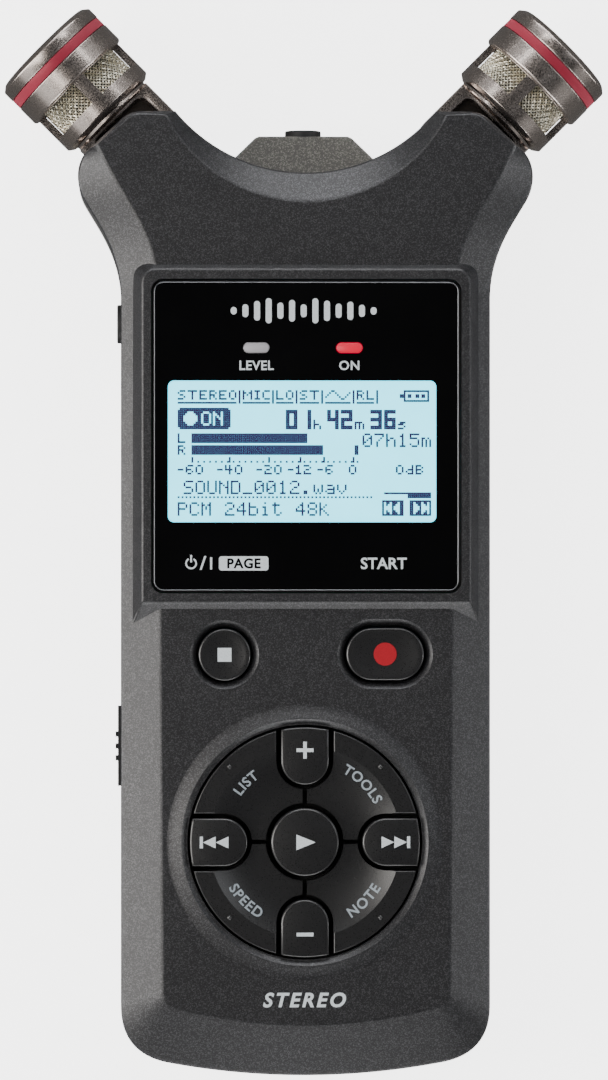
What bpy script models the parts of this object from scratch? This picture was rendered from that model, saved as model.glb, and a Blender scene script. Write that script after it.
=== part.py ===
"""Handheld stereo recorder, lying on its back: +Z is the display's side, +Y the microphones' end.

The origin is on the centre line, half-way along the length, at the level of the rear face.
Sizes below are in millimetres; meshes are written in metres.
"""

import math

import bmesh
import bpy
from mathutils import Matrix, Vector

MM = 0.001
GAP = 0.3  # clearance between neighbouring pieces

# Case
HALF_WIDTH = 27.36
BOTTOM_Y = -79.3
BOTTOM_RADIUS = 110.0
SIDE_TOP_Y = 36.0
EAR_TIP_Y = 63.5
NOTCH_RADIUS = 25.03
NOTCH_CENTRE_Y = 79.45
FACE_HALF_WIDTH = 21.2
FACE_BOTTOM_Y = -71.5
FACE_BOTTOM_RADIUS = 74.0
FACE_NOTCH_RADIUS = 23.0
FACE_NOTCH_CENTRE_Y = 73.0
FACE_Z = 25.0
SHOULDER_Z = 22.0  # where the side wall turns into the front chamfer
PART_Z = 13.0  # joint between the front and the rear case
REAR_CHAMFER_Z = 3.0
WALL = 1.8
CAVITY_HALF_WIDTH = 25.5
CAVITY_Y = (-75.8, 46.0)
FACE_BACK_Z = FACE_Z - WALL

# Display
BLOCK_Z = 26.0
BLOCK_BASE_Z = 22.5
BLOCK_TOP = (-24.2, 24.2, -9.15, 39.9)  # x from, x to, y from, y to
BLOCK_BASE = (-25.7, 25.7, -12.65, 42.3)
BLOCK_FOOT_RADIUS = 0.4
WINDOW = (-22.76, 22.76, -7.73, 38.37)
WINDOW_RADIUS = 1.7
WINDOW_Z = (24.4, 25.8)
LCD_VIEW = (-20.43, 19.17, 2.61, 23.51)
LCD_PANEL = (-21.2, 20.4, 0.4, 25.6)
LIGHT_Y = 28.35
LIGHT_X = {"peak_light_guide": -7.4, "record_light_guide": 6.35}
LIGHT_SIZE = (4.0, 1.65)

# Keys
KEY_TRAVEL = 0.5
KEY_BACK_Z = 21.9
KEY_FLANGE = 0.9
FLANGE_Z = 22.9
STOP_XY = (-12.06, -16.94)
STOP_RADIUS = 3.88
RECORD_XY = (11.65, -16.85)
RECORD_SIZE = (11.56, 7.8)
DIAL_XY = (-0.2, -44.6)
DIAL_RADIUS = 17.0
PLAY_RADIUS = 5.1
SECTOR_INNER_RADIUS = 5.9
CROSS_HALF_WIDTH = 3.65
CROSS_INNER_RADIUS = 8.4
KEY_SLIT = 0.6
SECTOR_TOP_Z = 25.2
CROSS_TOP_Z = 25.6
ROUND_KEY_TOP_Z = 25.2

# Microphones: lengths along the microphone's own axis, from its pivot
PIVOT_X = 22.9
PIVOT_Y = 57.5
MIC_Z = 13.0
MIC_REST_TURN = 45.0  # degrees outwards from +Y
TONGUE_HALF_WIDTH = 6.9
TONGUE_HALF_THICKNESS = 4.3
CAGE_RADIUS = 8.27
HEAD_RADIUS = 8.93
MIC_BORE_RADIUS = 7.2
PIN_RADIUS = 2.0

# Inside
CELL_RADIUS = 7.25
CELL_LENGTH = 50.5
CELL_Z = 9.45
CELL_Y = (-69.8, -19.3)
BAY_HALF_WIDTH = 15.2
BAY_Y = (-72.5, -14.0)
BOARD_Z = (17.3, 18.5)
TRIPOD_XY = (0.0, 0.0)
TRIPOD_BORE_RADIUS = 3.175
SPEAKER_XY = (0.0, 30.0)
SCREW_XY = ((-21.3, -70.5), (21.3, -70.5), (-21.3, 42.0), (21.3, 42.0))
SCREW_SEAT_Z = 2.9
BOSS_RADIUS = 2.4

# Rear case, its cover, doors and sockets
COVER_OUTER_HALF = 16.2
COVER_INNER_HALF = 17.2
COVER_THICKNESS = 1.6
COVER_Y = (-76.5, -12.0)
TRAPEZOID_Z = (2.0, 11.2)
INPUT_JACK_Z = 6.8
PHONES_JACK_YZ = (32.4, 8.5)
USB_YZ = (27.0, 8.6)
DOOR_Y = (3.0, 19.0)
DOOR_Z = (5.5, 11.5)
TAB_SLOPE_Y = (55.0, 60.6)  # the tab's top starts to fall here, and ends here
TAB_END_Z = 9.9

# Slide switch on the left side
HOLD_Y = (-36.5, -24.7)
HOLD_Z = 16.6
HOLD_PROUD = 0.45
KNOB_Y = (-33.3, -28.0)
KNOB_TRAVEL = 2.6
RIB_PITCH = 1.77

MATERIALS = {
    "flake_paint": ((0.045, 0.045, 0.05), 0.45, 0.3),
    "rear_paint": ((0.07, 0.066, 0.06), 0.5, 0.25),
    "gloss_black": ((0.006, 0.006, 0.007), 0.08, 0.0),
    "lcd_glass": ((0.5, 0.77, 0.86), 0.3, 0.0),
    "light_guide": ((0.6, 0.6, 0.6), 0.3, 0.0),
    "red_light": ((0.8, 0.05, 0.08), 0.3, 0.0),
    "key_plastic": ((0.02, 0.02, 0.022), 0.4, 0.0),
    "key_rubber": ((0.03, 0.03, 0.03), 0.8, 0.0),
    "black_plastic": ((0.015, 0.015, 0.015), 0.5, 0.0),
    "board_green": ((0.02, 0.12, 0.05), 0.5, 0.0),
    "bare_steel": ((0.6, 0.6, 0.58), 0.3, 1.0),
    "brass": ((0.75, 0.55, 0.25), 0.3, 1.0),
    "cell_jacket": ((0.1, 0.1, 0.35), 0.4, 0.2),
    "mic_metal": ((0.2, 0.18, 0.17), 0.35, 1.0),
    "mic_mesh": ((0.6, 0.57, 0.45), 0.4, 0.8),
    "mic_red": ((0.55, 0.05, 0.08), 0.35, 0.3),
}


# ---------------------------------------------------------------- helpers


def clear_scene():
    for existing in list(bpy.data.objects):
        bpy.data.objects.remove(existing, do_unlink=True)


def material(slot):
    found = bpy.data.materials.get(slot)
    if found:
        return found
    colour, roughness, metallic = MATERIALS[slot]
    made = bpy.data.materials.new(slot)
    made.use_nodes = True
    shader = made.node_tree.nodes["Principled BSDF"]
    shader.inputs["Base Color"].default_value = (*colour, 1.0)
    shader.inputs["Roughness"].default_value = roughness
    shader.inputs["Metallic"].default_value = metallic
    return made


def finish_mesh(name, bm, slot, origin=(0.0, 0.0, 0.0)):
    """A named object from a mesh in millimetres, with its origin at the given point."""
    bmesh.ops.recalc_face_normals(bm, faces=bm.faces)
    shift = Matrix.Translation(-Vector(origin))
    bm.transform(Matrix.Scale(MM, 4) @ shift)
    mesh = bpy.data.meshes.new(name)
    bm.to_mesh(mesh)
    bm.free()
    mesh.materials.append(material(slot))
    piece = bpy.data.objects.new(name, mesh)
    piece.location = Vector(origin) * MM
    bpy.context.scene.collection.objects.link(piece)
    return piece


def loft(name, sections, slot, origin=(0.0, 0.0, 0.0)):
    """A closed solid through outlines of equal length, each (points, z), from low to high."""
    bm = bmesh.new()
    rings = [[bm.verts.new((x, y, z)) for x, y in points] for points, z in sections]
    count = len(rings[0])
    for low, high in zip(rings, rings[1:]):
        for i in range(count):
            j = (i + 1) % count
            bm.faces.new((low[i], low[j], high[j], high[i]))
    bm.faces.new(rings[0][::-1])
    bm.faces.new(rings[-1])
    return finish_mesh(name, bm, slot, origin)


def turned(name, profile, slot, segments=28, closed=False):
    """A solid of revolution about local Y from (radius, y) points; closed makes a ring of them."""
    bm = bmesh.new()
    rings = []
    for radius, along in profile:
        if radius < 1e-6:
            rings.append([bm.verts.new((0.0, along, 0.0))] * segments)
            continue
        ring = []
        for i in range(segments):
            angle = 2.0 * math.pi * i / segments
            ring.append(bm.verts.new((radius * math.cos(angle), along, radius * math.sin(angle))))
        rings.append(ring)
    pairs = list(zip(rings, rings[1:]))
    if closed:
        pairs.append((rings[-1], rings[0]))
    for first, second in pairs:
        for i in range(segments):
            j = (i + 1) % segments
            corners = dict.fromkeys((first[i], first[j], second[j], second[i]))
            if len(corners) > 2:
                bm.faces.new(tuple(corners))
    return finish_mesh(name, bm, slot)


def stood_up(piece, location):
    """Turns a solid made about local Y so that its axis points along +Z, and places it."""
    piece.data.transform(Matrix.Rotation(math.pi / 2.0, 4, "X"))
    piece.location = Vector(location) * MM
    return piece


def rectangle(x0, x1, y0, y1):
    return [(x0, y0), (x1, y0), (x1, y1), (x0, y1)]


def arc(centre, radius, start, end, steps):
    """Points on an arc, in degrees, both ends included."""
    points = []
    for i in range(steps + 1):
        angle = math.radians(start + (end - start) * i / steps)
        points.append((centre[0] + radius * math.cos(angle), centre[1] + radius * math.sin(angle)))
    return points


def rounded(x0, x1, y0, y1, radius, steps=3, low_radius=None):
    """A rectangle with rounded corners; the two at the low y may have a radius of their own."""
    low = radius if low_radius is None else low_radius
    corners = ((x1, y0, -1, 1, low), (x1, y1, -1, -1, radius), (x0, y1, 1, -1, radius), (x0, y0, 1, 1, low))
    points = []
    for i, (x, y, x_way, y_way, turn) in enumerate(corners):
        centre = (x + x_way * turn, y + y_way * turn)
        points += arc(centre, turn, 90 * i - 90, 90 * i, steps)
    return points


def circle(centre, radius, segments):
    return arc(centre, radius, 0, 360, segments)[:-1]


def stadium(centre, length, height, steps=10):
    """A slot shape along X: two half circles joined by straight sides."""
    radius = height / 2.0
    reach = length / 2.0 - radius
    right = arc((centre[0] + reach, centre[1]), radius, -90, 90, steps)
    left = arc((centre[0] - reach, centre[1]), radius, 90, 270, steps)
    return right + left


def bezier(controls, steps):
    """Points on a Bezier curve, its last point left out so that curves chain."""
    points = []
    for i in range(steps):
        t = i / steps
        level = [Vector(control) for control in controls]
        while len(level) > 1:
            level = [a.lerp(b, t) for a, b in zip(level, level[1:])]
        points.append(tuple(level[0]))
    return points


def box(name, x_range, y_range, z_range, slot="black_plastic", origin=(0.0, 0.0, 0.0)):
    outline = rectangle(*x_range, *y_range)
    return loft(name, [(outline, z_range[0]), (outline, z_range[1])], slot, origin)


def post(centre, radius, z_range, segments=20, slot="black_plastic", name="post"):
    outline = circle(centre, radius, segments)
    return loft(name, [(outline, z_range[0]), (outline, z_range[1])], slot)


def combine(piece, other, operation):
    """Applies a Boolean to the piece and removes the other solid."""
    change = piece.modifiers.new("combine", "BOOLEAN")
    change.operation = operation
    change.object = other
    change.solver = "EXACT"
    bpy.context.view_layer.update()
    graph = bpy.context.evaluated_depsgraph_get()
    result = bpy.data.meshes.new_from_object(piece.evaluated_get(graph))
    piece.modifiers.clear()
    piece.data = result
    result.name = piece.name
    slot = result.materials[0]
    result.materials.clear()
    result.materials.append(slot)
    bpy.data.objects.remove(other, do_unlink=True)
    return piece


def cut(piece, *tools):
    for tool in tools:
        combine(piece, tool, "DIFFERENCE")
    return piece


def fuse(piece, *others):
    for other in others:
        combine(piece, other, "UNION")
    return piece


# ---------------------------------------------------------------- case outline


def bottom_arc(x, lowest, radius):
    return lowest + radius - math.sqrt(radius * radius - x * x)


def notch_arc(x, centre_y, radius):
    return centre_y - math.sqrt(radius * radius - x * x)


def mirrored(half):
    """A closed outline from its left half, which runs from the bottom centre to the top centre."""
    return [(-x, y) for x, y in half] + half[-2:0:-1]


def half_outline(bottom, corner_x, corner_y, side_low, side_high, ear, tip, notch, notch_start):
    """Left half of a case outline. bottom and notch give y for an x on their arcs."""
    points = [(corner_x * i / 4, bottom(corner_x * i / 4)) for i in range(4)]
    start = (corner_x, bottom(corner_x))
    points += bezier((start, (side_low[0], corner_y), side_low), 4)
    points += [side_low]
    points += bezier((side_high, *ear[:3]), 5)
    points += bezier((ear[2], *ear[3:]), 4)
    points += [ear[5]]
    points += bezier(tip, 3)
    points += [tip[2]]
    points += [(notch_start * (1 - i / 8), notch(notch_start * (1 - i / 8))) for i in range(9)]
    return points


def case_outline():
    """The silhouette of both cases."""
    return mirrored(
        half_outline(
            lambda x: bottom_arc(x, BOTTOM_Y, BOTTOM_RADIUS),
            -19.7,
            -76.33,
            (-HALF_WIDTH, -69.0),
            (-HALF_WIDTH, SIDE_TOP_Y),
            ((-27.5, 42.5), (-30.6, 46.6), (-32.6, 50.0), (-34.1, 52.4), (-34.2, 55.6), (-32.4, 57.6)),
            ((-27.2, 62.4), (-26.0, EAR_TIP_Y), (-24.0, EAR_TIP_Y)),
            lambda x: notch_arc(x, NOTCH_CENTRE_Y, NOTCH_RADIUS),
            -19.29,
        )
    )


def face_outline():
    """The edge of the flat front or rear face, inside the chamfers; same point count."""
    return mirrored(
        half_outline(
            lambda x: bottom_arc(x, FACE_BOTTOM_Y, FACE_BOTTOM_RADIUS),
            -19.5,
            -68.5,
            (-FACE_HALF_WIDTH, -66.8),
            (-21.9, 37.5),
            ((-22.3, 43.0), (-24.2, 46.4), (-26.3, 50.0), (-27.6, 52.2), (-29.4, 55.3), (-30.9, 58.3)),
            ((-27.0, 62.0), (-26.0, 63.1), (-24.2, 63.15)),
            lambda x: notch_arc(x, FACE_NOTCH_CENTRE_Y, FACE_NOTCH_RADIUS),
            -20.6,
        )
    )


def swing_slot(side):
    """The space between the ears' two halves in which a microphone's tongue turns."""
    radius = TONGUE_HALF_WIDTH + 0.4
    reach = 30.0
    low = arc((0.0, 0.0), radius, 225, 315, 8)
    diagonal = math.sqrt(0.5) * reach
    right = (low[-1][0] + diagonal, low[-1][1] + diagonal)
    left = (low[0][0] - diagonal, low[0][1] + diagonal)
    outline = [(x + side * PIVOT_X, y + PIVOT_Y) for x, y in low + [right, left]]
    half = TONGUE_HALF_THICKNESS + GAP
    return loft("slot", [(outline, MIC_Z - half), (outline, MIC_Z + half)], "black_plastic")


def pin_bore(side):
    centre = (side * PIVOT_X, PIVOT_Y)
    return post(centre, PIN_RADIUS + GAP, (3.0, 22.4))


# ---------------------------------------------------------------- case pieces


def make_front_case():
    outer = case_outline()
    face = face_outline()
    low = PART_Z + GAP / 2
    case = loft("front_case", [(outer, low), (outer, SHOULDER_Z), (face, FACE_Z)], "flake_paint")
    block = loft(
        "block",
        [
            (rounded(*BLOCK_BASE, 3.0, low_radius=BLOCK_FOOT_RADIUS), BLOCK_BASE_Z),
            (rounded(*BLOCK_TOP, 2.0, low_radius=BLOCK_FOOT_RADIUS), BLOCK_Z),
        ],
        "flake_paint",
    )
    fuse(case, block)
    wide = rounded(-CAVITY_HALF_WIDTH, CAVITY_HALF_WIDTH, *CAVITY_Y, 5.0)
    narrow = rounded(-21.0, 21.0, -69.0, CAVITY_Y[1], 2.0)
    cut(case, loft("cavity", [(wide, 12.0), (wide, 20.8), (narrow, FACE_BACK_Z)], "black_plastic"))
    for centre in SCREW_XY:
        boss_top = 22.6 if centre[1] < 0 else 24.0
        fuse(case, post(centre, BOSS_RADIUS, (low, boss_top)))
        cut(case, post(centre, 1.2, (12.0, 19.0), 10))
    for side in (-1, 1):
        cut(case, swing_slot(side), pin_bore(side))
    cut_display(case)
    cut_key_holes(case)
    cut(case, hold_recess(), hold_slot())
    return case


def cut_display(case):
    x0, x1, y0, y1 = WINDOW
    pocket = rounded(x0 - GAP / 2, x1 + GAP / 2, y0 - GAP / 2, y1 + GAP / 2, WINDOW_RADIUS)
    floor = WINDOW_Z[0] - GAP
    cut(case, loft("pocket", [(pocket, floor), (pocket, 30.0)], "black_plastic"))
    cut(case, box("view", LCD_VIEW[:2], LCD_VIEW[2:], (20.0, 30.0)))
    for x in LIGHT_X.values():
        hole = stadium((x, LIGHT_Y), LIGHT_SIZE[0] + 2 * GAP, LIGHT_SIZE[1] + 2 * GAP, 5)
        cut(case, loft("hole", [(hole, 20.0), (hole, 30.0)], "black_plastic"))


def dish(outline_low, outline_high, depth):
    return loft("dish", [(outline_low, FACE_Z - depth), (outline_high, FACE_Z + depth)], "black_plastic")


def dial_lip():
    """The raised rim around the dial, with a soft outer slope."""
    profile = ((17.0, 24.0), (17.6, 25.3), (18.3, 25.6), (19.2, 25.35), (20.6, 24.9), (20.6, 24.0))
    lip = turned("lip", profile, "flake_paint", 40, closed=True)
    return stood_up(lip, (*DIAL_XY, 0.0))


def cut_key_holes(case):
    stop_hole = circle(STOP_XY, STOP_RADIUS + GAP, 24)
    cut(case, dish(circle(STOP_XY, 4.5, 24), circle(STOP_XY, 5.6, 24), 0.6))
    cut(case, loft("hole", [(stop_hole, 20.0), (stop_hole, 30.0)], "black_plastic"))
    length, height = RECORD_SIZE
    record_hole = stadium(RECORD_XY, length + 2 * GAP, height + 2 * GAP, 10)
    low = stadium(RECORD_XY, length + 1.3, height + 1.3, 10)
    high = stadium(RECORD_XY, length + 3.4, height + 3.4, 10)
    cut(case, dish(low, high, 0.6))
    cut(case, loft("hole", [(record_hole, 20.0), (record_hole, 30.0)], "black_plastic"))
    fuse(case, dial_lip())
    dial_hole = circle(DIAL_XY, DIAL_RADIUS + GAP, 40)
    cut(case, loft("hole", [(dial_hole, 20.0), (dial_hole, 30.0)], "black_plastic"))




def rear_block(name="rear_case"):
    """The rear case before it is hollowed."""
    outer = case_outline()
    face = face_outline()
    top = PART_Z - GAP / 2
    return loft(name, [(face, 0.0), (outer, REAR_CHAMFER_Z), (outer, top)], "rear_paint")


def cover_channel(grow, y_range):
    """The dovetail prism in which the battery cover slides, grown by a clearance."""
    slope = (COVER_INNER_HALF - COVER_OUTER_HALF) / COVER_THICKNESS
    sections = []
    for z in (-1.0 if grow else 0.0, COVER_THICKNESS + grow):
        half = COVER_OUTER_HALF + grow + slope * z
        sections.append((rectangle(-half, half, *y_range), z))
    return loft("channel", sections, "rear_paint")


def make_rear_case():
    case = rear_block()
    trapezoid = [(-14.0, 50.0), (14.0, 50.0), (12.0, 55.66), (10.46, 57.2), (6.95, 60.6)]
    trapezoid += [(-6.95, 60.6), (-10.46, 57.2), (-12.0, 55.66)]
    tab = loft("tab", [(trapezoid, z) for z in TRAPEZOID_Z], "rear_paint")
    above = TRAPEZOID_Z[1] + 1.0
    start, end = TAB_SLOPE_Y
    wedge = [(rectangle(-15.0, 15.0, end, end + 2.0), TAB_END_Z)]
    wedge += [(rectangle(-15.0, 15.0, start, end + 2.0), z) for z in (TRAPEZOID_Z[1], above)]
    cut(tab, loft("wedge", wedge, "rear_paint"))
    fuse(case, tab)
    cavity = rounded(-CAVITY_HALF_WIDTH, CAVITY_HALF_WIDTH, *CAVITY_Y, 5.0)
    floor = rounded(-22.5, 22.5, -71.5, CAVITY_Y[1], 3.0)
    cut(case, loft("cavity", [(floor, WALL), (cavity, 4.6), (cavity, 14.0)], "black_plastic"))
    top = PART_Z - GAP / 2
    fuse(case, box("bay_walls", (-18.8, 18.8), (-73.8, -11.4), (1.7, top)))
    cut(case, box("bay", (-BAY_HALF_WIDTH, BAY_HALF_WIDTH), BAY_Y, (-2.0, 14.0)))
    cut(case, cover_channel(GAP, (-83.0, COVER_Y[1] + GAP)))
    for centre in SCREW_XY:
        fuse(case, post(centre, BOSS_RADIUS, (1.7, top)))
        cut(case, post(centre, 1.2, (-1.0, 14.0), 10), post(centre, 1.9, (-1.0, SCREW_SEAT_Z), 16))
    fuse(case, post(TRIPOD_XY, 7.5, (1.0, 9.5), 24))
    cut(case, post(TRIPOD_XY, 4.8, (-1.0, 12.0), 24))
    for side in (-1, 1):
        cut(case, swing_slot(side), pin_bore(side))
    cut_rear_openings(case)
    return case


def cut_rear_openings(case):
    for i in range(-2, 3):
        y = SPEAKER_XY[1] + 2.6 * i
        slit = stadium((SPEAKER_XY[0], y), 15.0 - abs(i) * 2.4, 1.2, 3)
        cut(case, loft("slit", [(slit, -1.0), (slit, 2.2)], "black_plastic"))
    cut(case, box("jack_pocket", (-3.4, 3.4), (44.0, 59.6), (INPUT_JACK_Z - 3.4, INPUT_JACK_Z + 3.4)))
    jack_hole = turned("jack_hole", ((0, 0), (3.0, 0), (3.0, 20), (0, 20)), "black_plastic", 20)
    jack_hole.location = Vector((0.0, 50.0, INPUT_JACK_Z)) * MM
    cut(case, jack_hole)
    phones_hole = turned("phones_hole", ((0, 0), (3.2, 0), (3.2, 8), (0, 8)), "black_plastic", 20)
    phones_hole.rotation_euler = (0.0, 0.0, math.pi / 2)
    phones_hole.location = Vector((-22.0, *PHONES_JACK_YZ)) * MM
    cut(case, phones_hole)
    y, z = USB_YZ
    cut(case, box("usb_hole", (20.0, 30.0), (y - 4.3, y + 4.3), (z - 1.9, z + 1.9)))
    door_y = (DOOR_Y[0] - GAP, DOOR_Y[1] + GAP)
    cut(case, box("door_hole", (22.0, 30.0), door_y, (DOOR_Z[0] - GAP, DOOR_Z[1] + GAP)))


def make_battery_cover():
    cover = cover_channel(0.0, COVER_Y)
    cover.name = "battery_cover"
    combine(cover, rear_block("shape"), "INTERSECT")
    return cover


def make_card_door():
    hinge = (HALF_WIDTH, (DOOR_Y[0] + DOOR_Y[1]) / 2, DOOR_Z[0])
    return box("card_door", (HALF_WIDTH - 1.2, HALF_WIDTH), DOOR_Y, DOOR_Z, "rear_paint", hinge)




def hold_recess():
    return box(
        "recess",
        (-30.0, -HALF_WIDTH + 1.05),
        (HOLD_Y[0] - GAP, HOLD_Y[1] + GAP),
        (HOLD_Z - 2.8, HOLD_Z + 2.8),
    )


def hold_slot():
    y_range = (KNOB_Y[0] - GAP, KNOB_Y[1] + KNOB_TRAVEL + GAP)
    return box("slot", (-30.0, -24.0), y_range, (HOLD_Z - 1.7, HOLD_Z + 1.7))


def make_hold_switch():
    outer = -HALF_WIDTH - HOLD_PROUD
    plate = box("hold_plate", (outer, -HALF_WIDTH + 0.75), HOLD_Y, (HOLD_Z - 2.5, HOLD_Z + 2.5))
    cut(plate, hold_slot())
    middle = sum(KNOB_Y) / 2
    origin = (outer, middle, HOLD_Z)
    z_range = (HOLD_Z - 1.4, HOLD_Z + 1.4)
    knob = box("hold_switch", (outer + 0.1, -24.0), KNOB_Y, z_range, "key_plastic", origin)
    for i in (-1, 0, 1):
        rib_y = middle + RIB_PITCH * i
        fuse(knob, box("rib", (outer - 0.35, outer + 0.3), (rib_y - 0.35, rib_y + 0.35), z_range))
    flange_z = (HOLD_Z - 2.4, HOLD_Z + 2.4)
    fuse(knob, box("flange", (-25.1, -24.4), (KNOB_Y[0] - 1.0, KNOB_Y[1] + 1.0), flange_z))
    return plate, knob


# ---------------------------------------------------------------- keys


def key(name, centre, outlines, top_z):
    """A sprung key: a flange under the case wall, a shaft, and a top with a chamfered edge."""
    flange, shaft, crown = outlines
    sections = [(flange, KEY_BACK_Z), (flange, FLANGE_Z), (shaft, FLANGE_Z)]
    sections += [(shaft, top_z - 0.35), (crown, top_z)]
    return loft(name, sections, "key_plastic", (*centre, top_z))


def make_round_keys():
    key(
        "stop_button",
        STOP_XY,
        [circle(STOP_XY, STOP_RADIUS + grow, 24) for grow in (KEY_FLANGE, 0.0, -0.4)],
        ROUND_KEY_TOP_Z,
    )
    length, height = RECORD_SIZE
    grows = (2 * KEY_FLANGE, 0.0, -0.8)
    outlines = [stadium(RECORD_XY, length + grow, height + grow) for grow in grows]
    key("record_button", RECORD_XY, outlines, ROUND_KEY_TOP_Z)
    key(
        "play_button",
        DIAL_XY,
        [circle(DIAL_XY, PLAY_RADIUS + grow, 24) for grow in (0.1, 0.0, -0.4)],
        CROSS_TOP_Z,
    )


def turn_about_dial(points, degrees):
    angle = math.radians(degrees)
    c, s = math.cos(angle), math.sin(angle)
    return [(DIAL_XY[0] + c * x - s * y, DIAL_XY[1] + s * x + c * y) for x, y in points]


def cross_outline(grow, rim):
    """A cross key at the top of the dial: a round inner end, straight sides and the dial's rim."""
    half = CROSS_HALF_WIDTH + grow
    inner_y = CROSS_INNER_RADIUS + CROSS_HALF_WIDTH
    rim_angle = math.degrees(math.asin(half / rim))
    return arc((0.0, inner_y), half, 180, 360, 10) + arc((0.0, 0.0), rim, 90 - rim_angle, 90 + rim_angle, 4)


def sector_outline(grow, rim):
    """A key between two cross keys, in the first quadrant."""
    slit = KEY_SLIT / 2 - grow
    half = CROSS_HALF_WIDTH + KEY_SLIT - grow
    inner_y = CROSS_INNER_RADIUS + CROSS_HALF_WIDTH
    inner = SECTOR_INNER_RADIUS - grow
    low_angle = math.degrees(math.asin(slit / inner))
    side_angle = math.degrees(math.asin(slit / half))
    rim_angle = math.degrees(math.asin(half / rim))
    points = arc((inner_y, 0.0), half, 180 - side_angle, 90, 5)
    points += arc((0.0, 0.0), rim, rim_angle, 90 - rim_angle, 8)
    points += arc((0.0, inner_y), half, 0, -90 + side_angle, 5)
    points += arc((0.0, 0.0), inner, 90 - low_angle, low_angle, 4)
    return points


def make_dial_keys():
    rims = (DIAL_RADIUS + 0.9, DIAL_RADIUS, DIAL_RADIUS - 0.3)
    crosses = (("plus_button", 0), ("back_button", 90), ("minus_button", 180), ("forward_button", 270))
    for name, degrees in crosses:
        outlines = [cross_outline(grow, rim) for grow, rim in zip((0.0, 0.0, -0.3), rims)]
        outlines = [turn_about_dial(points, degrees) for points in outlines]
        centre = turn_about_dial([(0.0, 12.8)], degrees)[0]
        key(name, centre, outlines, CROSS_TOP_Z)
    sectors = (("quick_key", 0), ("menu_key", 90), ("playback_key", 180), ("mark_key", 270))
    for name, degrees in sectors:
        outlines = [sector_outline(grow, rim) for grow, rim in zip((0.0, 0.0, -0.2), rims)]
        outlines = [turn_about_dial(points, degrees) for points in outlines]
        centre = turn_about_dial([(8.6, 8.6)], degrees)[0]
        key(name, centre, outlines, SECTOR_TOP_Z)


def make_key_mat():
    mat = box("key_mat", (-20.0, 20.0), (-64.0, -11.0), (18.8, 20.0), "key_rubber")
    cross = [turn_about_dial([(0.0, 12.8)], degrees)[0] for degrees in (0, 90, 180, 270)]
    sector = [turn_about_dial([(8.6, 8.6)], degrees)[0] for degrees in (0, 90, 180, 270)]
    for centre in (STOP_XY, RECORD_XY, DIAL_XY, *cross, *sector):
        fuse(mat, post(centre, 2.0, (19.4, KEY_BACK_Z - KEY_TRAVEL - 0.2), 10))
    return mat


# ---------------------------------------------------------------- display and boards


def make_display():
    window = rounded(*WINDOW, WINDOW_RADIUS - GAP / 2)
    loft("display_window", [(window, z) for z in WINDOW_Z], "gloss_black")
    box("lcd_panel", LCD_PANEL[:2], LCD_PANEL[2:], (21.2, 22.8), "lcd_glass")
    box("lcd_backlight", LCD_PANEL[:2], LCD_PANEL[2:], (18.9, 20.9), "light_guide")
    for name, x in LIGHT_X.items():
        pill = stadium((x, LIGHT_Y), *LIGHT_SIZE, 5)
        slot = "red_light" if name == "record_light_guide" else "light_guide"
        loft(name, [(pill, 19.0), (pill, WINDOW_Z[0] - 0.5)], slot)


def make_boards():
    box("main_board", (-23.4, 23.4), (-67.5, 38.0), BOARD_Z, "board_green")
    make_key_mat()


def make_jacks():
    collar = turned("input_jack", ((0, 0), (2.7, 0), (2.7, 2.5), (0, 2.5)), "black_plastic", 20)
    collar.location = Vector((0.0, 59.05, INPUT_JACK_Z)) * MM
    body_z = (INPUT_JACK_Z - 3.0, INPUT_JACK_Z + 3.0)
    fuse(collar, box("body", (-3.0, 3.0), (46.5, 59.3), body_z))
    bore = turned("bore", ((0, 0), (1.8, 0), (1.8, 15), (0, 15)), "black_plastic", 14)
    bore.location = Vector((0.0, 48.0, INPUT_JACK_Z)) * MM
    cut(collar, bore)

    y, z = PHONES_JACK_YZ
    jack = turned("phones_jack", ((0, 0), (2.9, 0), (2.9, 3.2), (0, 3.2)), "black_plastic", 20)
    jack.rotation_euler = (0.0, 0.0, math.pi / 2)
    jack.location = Vector((-24.76, y, z)) * MM
    fuse(jack, box("body", (-25.2, -13.0), (y - 3.0, y + 3.0), (z - 2.7, z + 2.7)))
    bore = turned("bore", ((0, 0), (1.8, 0), (1.8, 15), (0, 15)), "black_plastic", 14)
    bore.rotation_euler = (0.0, 0.0, math.pi / 2)
    bore.location = Vector((-14.5, y, z)) * MM
    cut(jack, bore)


def make_sockets():
    y, z = USB_YZ
    usb = box("usb_socket", (20.4, 27.1), (y - 4.0, y + 4.0), (z - 1.6, z + 1.6), "bare_steel")
    cut(usb, box("mouth", (21.4, 30.0), (y - 3.6, y + 3.6), (z - 1.2, z + 1.2)))
    card = box("card_socket", (11.5, 25.2), (4.0, 18.0), (7.4, 9.6), "bare_steel")
    cut(card, box("mouth", (13.0, 30.0), (5.3, 16.7), (8.0, 9.0)))


def make_speaker():
    profile = ((0, 0), (10.0, 0), (10.0, 1.5), (6.5, 2.0), (6.5, 4.2), (0, 4.2))
    stood_up(turned("speaker", profile, "black_plastic", 24), (*SPEAKER_XY, 2.1))


def make_tripod_nut():
    r = TRIPOD_BORE_RADIUS
    profile = ((r, 0), (4.5, 0), (4.5, 9.6), (6.5, 9.6), (6.5, 10.8), (r, 10.8))
    stood_up(turned("tripod_nut", profile, "brass", 24, closed=True), (*TRIPOD_XY, 0.2))


def make_screws():
    head = 1.3
    profile = ((0, 0), (1.6, 0), (1.6, head), (0.85, head), (0.85, 17.0), (0, 17.0))
    for i, centre in enumerate(SCREW_XY, 1):
        stood_up(turned(f"case_screw_{i}", profile, "bare_steel", 12), (*centre, SCREW_SEAT_Z - GAP - head))


# ---------------------------------------------------------------- battery bay


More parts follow.
